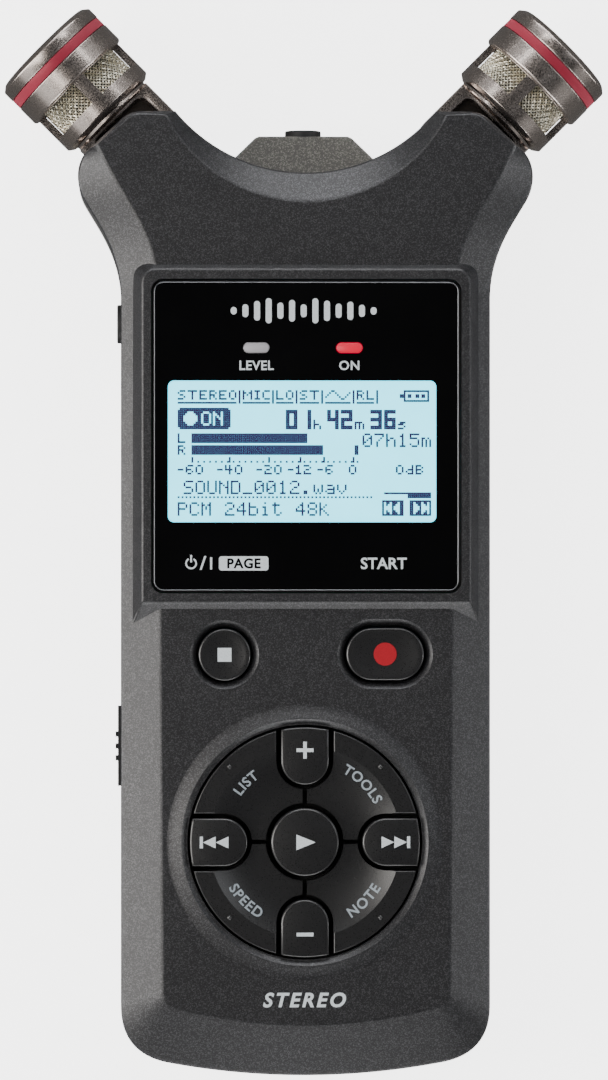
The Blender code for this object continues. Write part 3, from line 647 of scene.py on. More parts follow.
def display_block():
    """The raised block that carries the window; steep sides, a 45 degree foot below."""
    x0, x1, y0, y1 = BLOCK_TOP
    base_z = 22.4
    height = BLOCK_Z - base_z
    side, top, foot = height / 2.3, height / 1.5, height
    base = rounded(x0 - side, x1 + side, y0 - foot, y1 + top, 3.2, 10, 0.3)
    crown = rounded(x0, x1, y0, y1, 2.0, 10, 0.3)
    soft = 0.3
    corners = []
    for low, high, inner in zip(base, crown, inset(crown, soft)):
        ridge = Vector((*high, BLOCK_Z))
        start = ridge.lerp(Vector((*low, base_z)), soft / height * 1.3)
        corners.append((start, ridge, Vector((*inner, BLOCK_Z))))
    return loft("block", [level(base, base_z)] + roll(corners, 4), FRONT_PAINT)


def dial_lip():
    """The raised rim round the dial: a soft outer slope, a round crest and a steep inside."""
    profile = [(17.0, 23.6), (17.45, 24.9)]
    profile += [(17.9 + 0.35 * math.sin(a), 25.35 + 0.28 * math.sin(a)) for a in (0.0, 0.5, 1.0, 1.4)]
    for i in range(1, 11):
        t = i / 10
        profile.append((18.3 + 2.5 * t, FACE_Z + 0.63 * (1 - t) ** 2 * (1 + 0.6 * t) - 0.02 * t))
    profile.append((20.8, 23.6))
    return turned("lip", profile, FRONT_PAINT, 120, closed=True, place=upright(DIAL.x, DIAL.y, 0.0))


def hold_window():
    low, high = box_mm("hold_plate")
    gap = 0.15
    outline = bar(low.x - 3, high.x + 0.2, low.y - gap, high.y + gap)
    return prism("hold_window", outline, low.z - gap, high.z + gap, FRONT_PAINT)


def make_rear_shell():
    case = shell("rear_shell", REAR_HIGH.z + SEAM_GAP / 2, REAR_CHAMFER_Z, 0.0, REAR_PAINT)
    fuse(case, jack_tab())
    floor = rounded(-22.5, 22.5, -71.0, 46.0, 3.0)
    cut(case, loft("cavity", [level(floor, 1.8), level(CAVITY, 4.6), level(CAVITY, 16.0)], SHADE_BLACK))
    cut_cover_channel(case)
    for i in range(-2, 3):
        slit = stadium((0.0, 30.0 + 2.6 * i), 15.0 - abs(i) * 2.4, 1.2, 8)
        cut(case, prism("slit", slit, -1.0, 2.2, REAR_PAINT))
    cut(case, prism("nut_hole", circle((0.0, 0.0), 4.65), -1.0, 3.0, REAR_PAINT))
    for i in range(1, 5):
        low, high = box_mm(f"case_screw_{i}")
        centre = ((low.x + high.x) / 2, (low.y + high.y) / 2)
        cut(case, prism("screw_hole", circle(centre, 1.9, 40), -1.0, 4.9, REAR_PAINT))
    cut_side_openings(case)
    cut(case, swing_slot(-1), swing_slot(1))
    weigh_normals(case)
    dress(case, ROOT, "rear_case")


def jack_tab():
    """The tab between the ears that carries the top jack; its top slopes down to the jack."""
    outline = [(-14.0, 50.0), (14.0, 50.0), (14.0, 53.66), (10.46, 57.2), (7.3, 60.3), (6.7, 60.6)]
    outline += [(-6.7, 60.6), (-7.3, 60.3), (-10.46, 57.2), (-14.0, 53.66)]
    tops = [11.2 - 1.3 * max(0.0, (y - 55.0) / 5.6) for _, y in outline]
    rings = [level(inset(outline, 0.5), 2.0), level(outline, 2.5)]
    for amount, below in ((0.0, 0.5), (0.08, 0.22), (0.22, 0.07), (0.5, 0.0)):
        ring = inset(outline, amount) if amount else outline
        rings.append([(x, y, top - below) for (x, y), top in zip(ring, tops)])
    return loft("tab", rings, REAR_PAINT)


def cut_cover_channel(case):
    """The battery cover's dovetail, open at the foot."""
    high = box_mm("battery_cover")[1]
    rings = []
    for z in (-1.0, high.z + 0.25):
        half = 16.2 + 0.15 + z / 1.6
        rings.append(level(bar(-half, half, -84.0, high.y + 0.15), z))
    cut(case, loft("channel", rings, REAR_PAINT))


def cut_side_openings(case):
    low, high = box_mm("phones_jack")
    side = Matrix.Translation((-24.0, (low.y + high.y) / 2, PHONES_JACK_Z)) @ QUARTER_TURN
    top = Matrix.Translation((0.0, 50.0, INPUT_JACK_Z))
    for radius, length, place in ((3.0, 8, side), (2.8, 15, top)):
        hole = ((0, 0), (radius, 0), (radius, length), (0, length))
        cut(case, turned("hole", hole, REAR_PAINT, 60, place=place))
    for node, gap in (("usb_socket", 0.2), ("card_door", 0.14)):
        low, high = box_mm(node)
        outline = bar(low.x - 1.5, 34.0, low.y - gap, high.y + gap)
        cut(case, prism("opening", outline, low.z - gap, high.z + gap, REAR_PAINT))


# ---------------------------------------------------------------- display


def make_window():
    """The polished plate, with an opening for the display and one for each light, and a silver bead
    round its top as a painted highlight of its polished edge.
    """
    outline = rounded(WINDOW_LOW.x, WINDOW_HIGH.x, WINDOW_LOW.y, WINDOW_HIGH.y, WINDOW_RADIUS)
    top = WINDOW_HIGH.z
    run, drop = WINDOW_BEVEL
    rings = [level(outline, WINDOW_LOW.z), level(outline, top - drop), level(inset(outline, run), top)]
    plate = loft("window_plate", rings, WINDOW_BLACK, 50.0)
    cut(plate, prism("view", rounded(*LCD_VIEW, 0.9), 20.0, 30.0, WINDOW_BLACK))
    for x in LIGHTS.values():
        cut(plate, prism("light", stadium((x, LIGHT_Y), 4.0, 1.65), 20.0, 30.0, WINDOW_BLACK))
    weigh_normals(plate, 12.0)
    dress(plate, ROOT, "display_window")
    # The silver bead round the window's top is a painted highlight: it stands in for the glint on the
    # polished edge.
    rings = [level(inset(outline, inward), top + up) for inward, up in WINDOW_HIGHLIGHT_BEAD]
    edge = loft("window_highlight_bead", rings + rings[:1], HIGHLIGHT_SILVER, 80.0, caps=False)
    weld(edge)
    dress(edge, ROOT)


LCD_SURFACE_Z = 25.62


def make_lcd():
    """The lit panel right under the window's surface, and the lenses of the two lights."""
    x0, x1, y0, y1 = LCD_VIEW
    outline = rounded(x0 + 0.02, x1 - 0.02, y0 + 0.02, y1 - 0.02, 0.88)
    dress(prism("lcd_glass_sheet", outline, 22.9, LCD_SURFACE_Z, LCD_BACK), ROOT)
    for (node, x), material in zip(LIGHTS.items(), (LIGHT_OFF, LIGHT_RED)):
        outline = stadium((x, LIGHT_Y), 3.94, 1.59)
        rings = [level(outline, 24.0), level(outline, 25.66), level(inset(outline, 0.12), 25.74)]
        lens = loft(node.replace("guide", "lens"), rings, material, 60.0)
        dress(lens, ROOT, node)


# Dot shapes of the display's letters, rows from top to bottom, each row's dots from left to right.
TALL = {
    "0": "01110 10001 10011 10101 11001 10001 01110",
    "1": "00100 01100 00100 00100 00100 00100 01110",
    "2": "01110 10001 00001 00110 01000 10000 11111",
    "4": "00010 00110 01010 10010 11111 00010 00010",
    "5": "11111 10000 11110 00001 00001 10001 01110",
    "7": "11111 00001 00010 00100 01000 01000 01000",
    "8": "01110 10001 10001 01110 10001 10001 01110",
    ".": "00000 00000 00000 00000 00000 01100 01100",
    "_": "00000 00000 00000 00000 00000 00000 11111",
    " ": "00000 00000 00000 00000 00000 00000 00000",
    "C": "01110 10001 10000 10000 10000 10001 01110",
    "D": "11110 10001 10001 10001 10001 10001 11110",
    "M": "10001 11011 10101 10101 10001 10001 10001",
    "N": "10001 11001 10101 10011 10001 10001 10001",
    "O": "01110 10001 10001 10001 10001 10001 01110",
    "P": "11110 10001 10001 11110 10000 10000 10000",
    "S": "01111 10000 10000 01110 00001 00001 11110",
    "U": "10001 10001 10001 10001 10001 10001 01110",
    "a": "00000 00000 01110 00001 01111 10001 01111",
    "b": "10000 10000 11110 10001 10001 10001 11110",
    "h": "10000 10000 10110 11001 10001 10001 10001",
    "i": "00100 00000 01100 00100 00100 00100 01110",
    "k": "10000 10010 10100 11000 10100 10010 10001",
    "m": "00000 00000 11010 10101 10101 10101 10101",
    "t": "01000 11110 01000 01000 01000 01001 00110",
    "v": "00000 00000 10001 10001 10001 01010 00100",
    "w": "00000 00000 10001 10001 10101 10101 01010",
}
LOW = {
    "0": "0110 1001 1001 1001 0110",
    "1": "010 110 010 010 111",
    "2": "1110 0001 0110 1000 1111",
    "3": "1110 0001 0110 0001 1110",
    "4": "1010 1010 1111 0010 0010",
    "6": "0111 1000 1110 1001 0110",
    "-": "000 000 111 000 000",
    "B": "1110 1001 1110 1001 1110",
    "C": "0111 1000 1000 1000 0111",
    "E": "1111 1000 1110 1000 1111",
    "I": "111 010 010 010 111",
    "L": "1000 1000 1000 1000 1111",
    "M": "10001 11011 10101 10001 10001",
    "O": "0110 1001 1001 1001 0110",
    "R": "1110 1001 1110 1010 1001",
    "S": "0111 1000 0110 0001 1110",
    "T": "11111 00100 00100 00100 00100",
    "d": "0001 0001 0111 1001 0111",
    "h": "1000 1000 1110 1001 1001",
    "m": "00000 11110 10101 10101 10101",
    "s": "0000 0111 1110 0001 1110",
}
# Which bars of a large digit are on: top, upper left, upper right, middle, lower left, lower
# right, bottom. A bar's place is its column, row, width and height.
BARS = {"0": "1110111", "1": "0010010", "2": "1011101", "3": "1011011", "4": "0111010", "6": "1101111"}
BAR_PLACES = (
    (0, 0, 6, 2),
    (0, 0, 2, 5),
    (4, 0, 2, 5),
    (0, 4, 6, 2),
    (0, 5, 2, 5),
    (4, 5, 2, 5),
    (0, 8, 6, 2),
)


class Display:
    """A grid of display dots; row 0 is the top row."""

    def __init__(self):
        self.lit = set()

    def fill(self, x, y, width, height, on=True):
        for row in range(y, y + height):
            for column in range(x, x + width):
                if on:
                    self.lit.add((column, row))
                else:
                    self.lit.discard((column, row))

    def write(self, x, y, text, shapes=TALL, on=True):
        """Writes a line and returns the column after it."""
        for letter in text:
            lines = shapes[letter].split()
            for row, line in enumerate(lines):
                for column, dot in enumerate(line):
                    if dot == "1":
                        self.fill(x + column, y + row, 1, 1, on)
            x += len(lines[0]) + 1
        return x

    def number(self, x, y, text):
        """Large digits, 6 dots wide and 10 high, with strokes 2 dots thick."""
        for digit in text:
            for lit, place in zip(BARS[digit], BAR_PLACES):
                if lit == "1":
                    self.fill(x + place[0], y + place[1], place[2], place[3])
            x += 7
        return x

    def tab(self, x, width):
        """The line under a tab, and the bar at its right."""
        self.fill(x, 6, width, 1)
        self.fill(x + width + 1, 0, 1, 7)
        return x + width + 3


def draw_tabs(screen):
    x = 0
    for text in ("STEREO", "MIC", "LO", "ST"):
        end = screen.write(x, 0, text, LOW)
        x = screen.tab(x, end - 1 - x)
    for i, row in enumerate((3, 2, 1, 0, 0, 1, 2, 3, 4, 4, 3, 2, 1)):
        screen.fill(x + i, row, 1, 1)
    x = screen.tab(x, 13)
    x = screen.tab(x, screen.write(x, 0, "RL", LOW) - 1 - x)
    screen.fill(115, 0, 13, 6)
    screen.fill(116, 1, 11, 4, False)
    screen.fill(113, 2, 2, 2)
    for i in range(3):
        screen.fill(117 + 4 * i - i // 2, 2, 2, 2)


def draw_times(screen):
    screen.fill(0, 9, 27, 11)
    for x, y in ((0, 9), (26, 9), (0, 19), (26, 19)):
        screen.fill(x, y, 1, 1, False)
    for row, (start, width) in enumerate(((2, 3), (1, 5), (0, 7), (0, 7), (0, 7), (1, 5), (2, 3))):
        screen.fill(3 + start, 11 + row, width, 1, False)
    screen.write(12, 11, "ON", TALL, False)
    x = 55
    for digits, unit in (("01", "h"), ("42", "m"), ("36", "s")):
        x = screen.write(screen.number(x, 10, digits), 15, unit, LOW) + 2
    screen.write(94, 22, "07h15m")


def draw_levels(screen):
    for letter, y, level in (("L", 22, 59), ("R", 28, 67)):
        screen.write(0, y, letter, LOW)
        screen.fill(7, y, level, 5)
    screen.fill(90, 28, 2, 5)
    for tick in range(29):
        screen.fill(7 + 3 * tick, 36, 1, 1)
    scale = ((0, "-60"), (20, "-40"), (40, "-20"), (56, "-12"), (71, "-6"), (87, "0"), (111, "0dB"))
    for x, text in scale:
        screen.write(x, 38, text, LOW)
    for tick in (7, 26, 46, 62, 74, 89):
        screen.fill(tick, 34, 1, 3)


def draw_file(screen):
    screen.write(3, 46, "SOUND_0012.wav")
    for x in range(0, 100, 2):
        screen.fill(x, 54, 1, 1)
    screen.fill(105, 52, 24, 1)
    screen.fill(117, 53, 12, 2)
    screen.write(0, 57, "PCM 24bit 48k")
    for start in (104, 118):
        screen.fill(start, 56, 11, 8)
        for half in (0, 4):
            for i in range(3):
                x = 8 - half - i if start == 104 else 2 + half + i
                screen.fill(start + x, 57 + i, 1, 6 - 2 * i, False)
        screen.fill(start + (1 if start == 104 else 9), 57, 1, 6, False)


DOT_PITCH = 0.29
DOT_SIZE = 0.287
LCD_MARGIN = (1.44, 1.4)  # from the view's left and top edges to the first dot


def make_lcd_dots():
    """A plain recording screen: tabs, elapsed time, two level bars with their scale, and a file."""
    screen = Display()
    for draw in (draw_tabs, draw_times, draw_levels, draw_file):
        draw(screen)
    left = LCD_VIEW[0] + LCD_MARGIN[0]
    top = LCD_VIEW[3] - LCD_MARGIN[1]
    bm = bmesh.new()
    for column, row in sorted(screen.lit):
        x = left + DOT_PITCH * column
        y = top - DOT_PITCH * row
        corners = level(bar(x, x + DOT_SIZE, y - DOT_SIZE, y), LCD_SURFACE_Z + 0.02)
        bm.faces.new([bm.verts.new(corner) for corner in corners])
    dress(from_bmesh("lcd_dots", bm, LCD_INK, recalc=False), ROOT)


# ---------------------------------------------------------------- printed marks


INK_DEPTH = 0.012


def flat_shapes(name, shapes, z, material, body, slot, thickness=INK_DEPTH):
    """Thin printed shapes: each is an outline of (x, y) points."""
    bm = bmesh.new()
    for outline in shapes:
        skin(bm, [[bm.verts.new(point) for point in level(outline, h)] for h in (z, z + thickness)])
    dress(from_bmesh(name, bm, material), body)


def lettering(
    name, text, centre, height, z, material, body, slot, slant=0.0, bold=0.02, spacing=1.0, ring=None
):
    """Printed words in Blender's own plain typeface, their capitals of the given height.

    A ring is (radius, direction): the word then runs round the centre at that radius, in the middle
    of that direction, with its letters upright when the microphones' end is up.
    """
    data = bpy.data.curves.new(name, "FONT")
    data.body = text
    data.size = height * MM
    data.align_x = "CENTER"
    data.space_character = spacing
    data.shear = slant
    data.extrude = INK_DEPTH / 2 * MM
    data.offset = bold * height * MM
    data.resolution_u = 4
    words = bpy.data.objects.new(name, data)
    bpy.context.scene.collection.objects.link(words)
    bpy.context.view_layer.update()
    graph = bpy.context.evaluated_depsgraph_get()
    mesh = bpy.data.meshes.new_from_object(words.evaluated_get(graph))
    bpy.data.objects.remove(words, do_unlink=True)
    low = min(vertex.co.y for vertex in mesh.vertices)
    high = max(vertex.co.y for vertex in mesh.vertices)
    grow = height * MM / (high - low)
    centred = Matrix.Translation((0.0, -(low + high) / 2, 0.0))
    mesh.transform(Matrix.Diagonal((grow, grow, 1.0, 1.0)) @ centred)
    if ring:
        bend(mesh, *ring)
    mesh.transform(Matrix.Translation((centre[0] * MM, centre[1] * MM, (z + INK_DEPTH / 2) * MM)))
    mesh.name = name
    piece = link(name, mesh, material)
    dress(piece, body)
    return piece


def bend(mesh, radius, direction):
    """Bends a flat word to an arc; below the centre its letters' tops point inwards."""
    middle = math.radians(direction)
    way = 1 if math.sin(middle) > 0 else -1
    for vertex in mesh.vertices:
        angle = middle - way * vertex.co.x / (radius * MM)
        reach = radius * MM + way * vertex.co.y
        vertex.co.x, vertex.co.y = reach * math.cos(angle), reach * math.sin(angle)


SOUND_BARS = (1.1, 1.9, 2.9, 3.7, 2.4, 3.2, 1.9, 3.7, 3.0, 2.1, 2.7, 1.8, 1.1)


def make_window_print():
    on_window = {"z": WINDOW_HIGH.z, "material": INK_WHITE, "body": ROOT, "slot": "gloss_black"}
    sound = []
    for i, height in enumerate(SOUND_BARS):
        x = -0.4 + 1.72 * (i - 6)
        sound.append(rounded(x - 0.44, x + 0.44, 33.8 - height / 2, 33.8 + height / 2, 0.42, 4))
    flat_shapes("sound_mark", sound, **on_window)
    lettering("light_label_left", "LEVEL", (-7.4, 25.75), 1.4, spacing=1.05, **on_window)
    lettering("light_label_right", "ON", (6.35, 25.75), 1.4, spacing=1.1, **on_window)
    lettering("key_label_right", "START", (11.4, -3.45), 1.72, **on_window)
    ring = ring_shape((-17.0, -3.45), 0.86, 0.62, 60)
    flat_shapes("power_mark", [ring, bar(-17.13, -16.87, -3.3, -2.2)], **on_window)
    slash = [(-15.75, -4.4), (-15.45, -4.4), (-14.75, -2.35), (-15.05, -2.35)]
    flat_shapes("switch_mark", [slash, bar(-14.2, -13.9, -4.35, -2.55)], **on_window)
    flat_shapes("menu_box", [rounded(-12.9, -5.6, -4.5, -2.4, 0.4, 5)], **on_window)
    on_box = {**on_window, "z": WINDOW_HIGH.z + INK_DEPTH, "material": WINDOW_BLACK}
    lettering("menu_label", "PAGE", (-9.25, -3.45), 1.5, bold=0.03, spacing=1.08, **on_box)


def ring_shape(centre, outer, inner, gap):
    """A ring open at its top by the given angle, as one outline."""
    start, end = 90 + gap / 2, 450 - gap / 2
    return arc(centre, outer, start, end, 36) + arc(centre, inner, end, start, 36)


# ---------------------------------------------------------------- keys


def key_rings(outline, top_z, soft, hollow=0.0):
    """Rings of a key: straight sides, a rounded edge and a top that may be slightly hollow."""
    rings = [level(outline, KEY_BACK_Z)]
    steps = 5
    for i in range(steps + 1):
        angle = math.pi / 2 * i / steps
        ring = inset(outline, soft * (1 - math.cos(angle))) if i else outline
        rings.append(level(ring, top_z - soft + soft * math.sin(angle)))
    if hollow:
        rim = [Vector((x, y, 0.0)) for x, y, _ in rings[-1]]
        middle = [sum(point[i] for point in rings[-1]) / len(rim) for i in (0, 1)]
        for share in (0.85, 0.65, 0.4, 0.15):
            sunk = Vector((0.0, 0.0, top_z - hollow * (1 - share * share)))
            rings.append([point.lerp(Vector((*middle, 0.0)), 1 - share) + sunk for point in rim])
    return rings


def key_cap(node, rings):
    name = node.replace("_button", "_cap").replace("_key", "_key_cap")
    return loft(name, rings, KEY_BLACK, 40.0)


def make_key(node, outline, top_z, soft=0.3, hollow=0.0):
    dress(key_cap(node, key_rings(outline, top_z, soft, hollow)), node, node)


def about_dial(points, degrees):
    c, s = math.cos(math.radians(degrees)), math.sin(math.radians(degrees))
    return [(DIAL.x + c * x - s * y, DIAL.y + s * x + c * y) for x, y in points]


CROSS_HALF = 3.53
CROSS_END = 12.0  # centre of the round inner end
ARM_GAP = 0.68
NEIGHBOUR_GAP = 0.64


def cross_outline():
    angle = math.degrees(math.asin(CROSS_HALF / DIAL_RADIUS))
    inner = arc((0.0, CROSS_END), CROSS_HALF, 180, 360, 28)
    return inner + arc((0.0, 0.0), DIAL_RADIUS, 90 - angle, 90 + angle, 12)


def sector_outline():
    """The key between two arms of the cross, with a gap to the arms and to both its neighbours."""
    half = CROSS_HALF + ARM_GAP
    slit = NEIGHBOUR_GAP / 2
    inner = 5.75
    low = math.degrees(math.asin(slit / inner))
    side = math.degrees(math.asin(slit / half))
    rim = math.degrees(math.asin(half / DIAL_RADIUS))
    points = arc((CROSS_END, 0.0), half, 180 - side, 90, 12)
    points += arc((0.0, 0.0), DIAL_RADIUS, rim, 90 - rim, 30)
    points += arc((0.0, CROSS_END), half, 0, -90 + side, 12)
    points += arc((0.0, 0.0), inner, 90 - low, low, 12)
    return points


SECTOR_Z = 25.2
CROSS_Z = 25.55
DISH = (7.0, 14.15, 1.1)  # radius where it starts to rise, radius of its edge, depth
PIP = [(0.0, -0.1), (0.36, -0.1), (0.36, 0.02), (0.27, 0.17), (0.12, 0.25), (0.0, 0.27)]


def dish_z(radius):
    """Height of the shallow dish that the four keys between the arms share."""
    start, edge, depth = DISH
    rise = max(0.0, (radius - start) / (edge - start))
    return SECTOR_Z - depth * (1 - rise * rise)


def make_sector(node, degrees):
    """A key between the arms: a flat rim outside, and its part of the dish inside."""
    outline = about_dial(sector_outline(), degrees)
    piece = key_cap(node, key_rings(outline, SECTOR_Z, 0.25))
    start, edge, _ = DISH
    radii = [start + (edge - start) * i / 14 for i in range(15)]
    profile = [(radius, dish_z(radius)) for radius in (0.0, *radii)]
    profile += [(edge, SECTOR_Z + 2.0), (0.0, SECTOR_Z + 2.0)]
    cut(piece, turned("dish", profile, KEY_BLACK, 144, place=upright(DIAL.x, DIAL.y, 0.0)))
    weigh_normals(piece, 14.0)
    dress(piece, node, node)
    reach = 15.75 * math.sqrt(0.5)
    centre = about_dial([(reach, reach)], degrees)[0]
    pip = turned(node.replace("_key", "_pip"), PIP, KEY_BLACK, 24, place=upright(*centre, SECTOR_Z))
    dress(pip, node)


def drape(piece):
    """Lays a printed mark down on the dish."""
    for vertex in piece.data.vertices:
        radius = math.hypot(vertex.co.x / MM - DIAL.x, vertex.co.y / MM - DIAL.y)
        above = vertex.co.z - SECTOR_Z * MM
        vertex.co.z = (dish_z(radius) + 0.025) * MM + above


def triangle(x, y, width, height, way=1):
    back, tip = x - way * width / 2, x + way * width / 2
    return [(back, y - height / 2), (tip, y), (back, y + height / 2)][::way]


def make_keys():
    make_key("stop_button", circle(STOP, 3.85, 96), 25.2, 0.3, 0.25)
    make_key("record_button", stadium(RECORD, 11.5, 7.75, 40), 25.2, 0.3, 0.3)
    make_key("play_button", circle(DIAL, 5.02, 96), CROSS_Z, 0.35)
    for i, name in enumerate(("plus", "back", "minus", "forward")):
        make_key(f"{name}_button", about_dial(cross_outline(), 90 * i), CROSS_Z, 0.3)
    for i, name in enumerate(("quick", "menu", "playback", "mark")):
        make_sector(f"{name}_key", 90 * i)


def make_key_print():
    x, y = STOP
    stop = [bar(x - 1.02, x + 1.02, y - 1.02, y + 1.02)]
    x, y = DIAL
    long, thin = 1.25, 0.27
    up, down = y + 13.6, y - 13.6
    plus = [
        bar(x - long, x + long, up - thin, up + thin),
        bar(x - thin, x + thin, up + thin, up + long),
        bar(x - thin, x + thin, up - long, up - thin),
    ]
    marks = [
        ("stop", stop, 24.99, 0.03),
        ("record", [circle(RECORD, 1.7, 48)], 24.97, 0.03),
        ("play", [triangle(x + 0.15, y, 2.85, 2.3)], CROSS_Z, INK_DEPTH),
        ("plus", plus, CROSS_Z, INK_DEPTH),
        ("minus", [bar(x - long, x + long, down - thin, down + thin)], CROSS_Z, INK_DEPTH),
    ]
    for name, way in (("back", -1), ("forward", 1)):
        centre = x + way * 13.4
        shapes = [triangle(centre + way * offset, y, 1.87, 1.75, way) for offset in (-1.17, 0.72)]
        ends = sorted((centre + way * 1.66, centre + way * 2.12))
        marks.append((name, [*shapes, bar(*ends, y - 0.87, y + 0.87)], CROSS_Z, INK_DEPTH))
    for name, shapes, z, thickness in marks:
        ink = INK_RED if name == "record" else INK_WHITE
        flat_shapes(f"{name}_mark", shapes, z, ink, f"{name}_button", "key_plastic", thickness)
    for node, text, direction in (
        ("menu_key", "LIST", 135),
        ("quick_key", "TOOLS", 45),
        ("playback_key", "SPEED", 225),
        ("mark_key", "NOTE", -45),
    ):
        place = {"centre": DIAL, "height": 1.55, "z": SECTOR_Z, "body": node, "slot": "key_plastic"}
        ring = (12.4, direction)
        drape(lettering(f"{node}_label", text, material=INK_GREY, spacing=1.12, ring=ring, **place))


def make_foot_print():
    place = {"z": FACE_Z, "material": INK_WHITE, "body": ROOT, "slot": "flake_paint"}
    lettering("foot_label", "STEREO", (-0.4, -67.9), 2.2, slant=0.25, bold=0.03, spacing=1.28, **place)


# ---------------------------------------------------------------- microphones


def along(side):
    """From a microphone's own frame, axis along +Y, to its place on the recorder at rest."""
    turn = Matrix.Rotation(math.radians(-45.0 * side), 4, "Z")
    return Matrix.Translation((side * PIVOT.x, PIVOT.y, PIVOT.z)) @ turn


def rounded_profile(points, soft, steps=3):
    """A closed (radius, y) profile with its corners rounded."""
    result = []
    count = len(points)
    for i, point in enumerate(points):
        here = Vector(point)
        before = Vector(points[i - 1])
        after = Vector(points[(i + 1) % count])
        reach = min(soft, (before - here).length * 0.45, (after - here).length * 0.45)
        start = here + (before - here).normalized() * reach
        end = here + (after - here).normalized() * reach
        result += [soften(start, here, end, k / steps) for k in range(steps + 1)]
    return result


def dress_mic(piece, label, node=None):
    dress(piece, f"microphone_{label}", node and f"{node}_{label}")


def placed(place, outline, z):
    return [place @ Vector(point) for point in level(outline, z)]


def make_mic_housing(side, label):
    """The cage: a ring above and below, and four pillars between them."""
    place = along(side)
    profile = ((6.0, 8.6), (7.45, 8.6), (CAGE_RADIUS, 9.2), (CAGE_RADIUS, 15.35))
    profile += ((HEAD_RADIUS - 0.25, 15.35), (HEAD_RADIUS, 15.65), (HEAD_RADIUS, 18.62))
    profile += ((7.2, 18.62), (7.2, 11.0), (6.0, 11.0))
    body = turned("housing", rounded_profile(profile, 0.14), MIC_METAL, 96, True, 50.0, place)
    openings = ((7.0, 11.2), (11.0, 11.2), (11.0, 15.25), (7.0, 15.25))
    band = turned("band", openings, MIC_METAL, 48, closed=True, place=place)
    for reach_x, reach_z in ((12.0, PILLAR_HALF), (PILLAR_HALF, 12.0)):
        pillar = bar(-reach_x, reach_x, 10.0, 16.5)
        cut(band, loft("pillar", [placed(place, pillar, z) for z in (-reach_z, reach_z)], MIC_METAL))
    cut(body, band)
    weigh_normals(body, 40.0)
    body.name = f"mic_body_{label}"
    dress_mic(body, label, "mic_housing")


def make_mic_head(side, label):
    place = along(side)
    radius = HEAD_RADIUS - 0.06
    ring = rounded_profile(((7.2, 18.7), (radius, 18.7), (radius, 20.15), (7.2, 20.15)), 0.1)
    red = turned(f"mic_band_{label}", ring, MIC_RED, 96, True, 50.0, place)
    rim = ((6.9, 20.23), (HEAD_RADIUS, 20.23), (HEAD_RADIUS, 21.95), (8.05, 22.66))
    rim += ((7.35, 22.66), (6.9, 22.2))
    cap = turned(f"mic_rim_{label}", rounded_profile(rim, 0.16), MIC_METAL, 96, True, 50.0, place)
    felt = ((0.0, 11.2), (6.4, 11.2), (6.4, 21.2), (0.0, 21.2))
    core = turned(f"mic_core_{label}", felt, FELT_BLACK, 48, place=place)
    dress_mic(red, label, "mic_ring")
    dress_mic(cap, label, "mic_cap")
    dress_mic(core, label, "mic_capsule")


def wire_tube(bm, points):
    """Adds a round wire along points; its ends stay open, under the rims that hold it."""
    rings = []
    across = None
    for i, point in enumerate(points):
        run = (points[min(i + 1, len(points) - 1)] - points[max(i - 1, 0)]).normalized()
        across = run.orthogonal() if across is None else across - run * across.dot(run)
        across.normalize()
        other = run.cross(across)
        ring = []
        for k in range(WIRE_SIDES):
            angle = 2 * math.pi * k / WIRE_SIDES
            offset = across * math.cos(angle) + other * math.sin(angle)
            ring.append(bm.verts.new(point + WIRE_RADIUS * offset))
        rings.append(ring)
    skin(bm, rings, caps=False)


def make_side_mesh(side, label):
    """Woven wire wrapped round the capsule: two sets of wires at 45 degrees, over and under."""
    place = along(side)
    radius = 6.84
    low, high = 11.05, 15.5
    wires = 66
    turn_per_mm = 1.0 / radius
    bm = bmesh.new()
    steps = 28
    for way in (1, -1):
        for i in range(wires):
            start = 2 * math.pi * i / wires
            points = []
            for k in range(steps + 1):
                y = low + (high - low) * k / steps
                angle = start + way * (y - low) * turn_per_mm
                crossing = (y - low) * turn_per_mm * wires / math.pi
                lift = 0.11 * way * math.cos(math.pi * (crossing + i))
                reach = radius + lift
                points.append(place @ Vector((reach * math.cos(angle), y, reach * math.sin(angle))))
            wire_tube(bm, points)
    piece = from_bmesh(f"mic_weave_{label}", bm, MESH_WIRE, 80.0)
    dress_mic(piece, label, "mic_mesh")


def make_front_mesh(side, label):
    """Woven wire across the front, slightly domed."""
    place = along(side)
    radius = 7.0
    pitch = 0.62
    count = int(radius / pitch)
    bm = bmesh.new()
    for way in (0, 1):
        for i in range(-count, count + 1):
            offset = i * pitch
            half = math.sqrt(radius * radius - offset * offset)
            steps = max(4, int(half / pitch) * 4)
            points = []
            for k in range(steps + 1):
                run = -half + 2 * half * k / steps
                dome = 0.35 * (1 - (run * run + offset * offset) / radius**2)
                lift = 0.12 * math.cos(math.pi * run / pitch) * (1 if (i + way) % 2 else -1)
                x, z = (run, offset) if way else (offset, run)
                points.append(place @ Vector((x, 21.75 + dome + lift, z)))
            wire_tube(bm, points)
    piece = from_bmesh(f"mic_front_weave_{label}", bm, MESH_WIRE, 80.0)
    dress_mic(piece, label, "mic_grille")


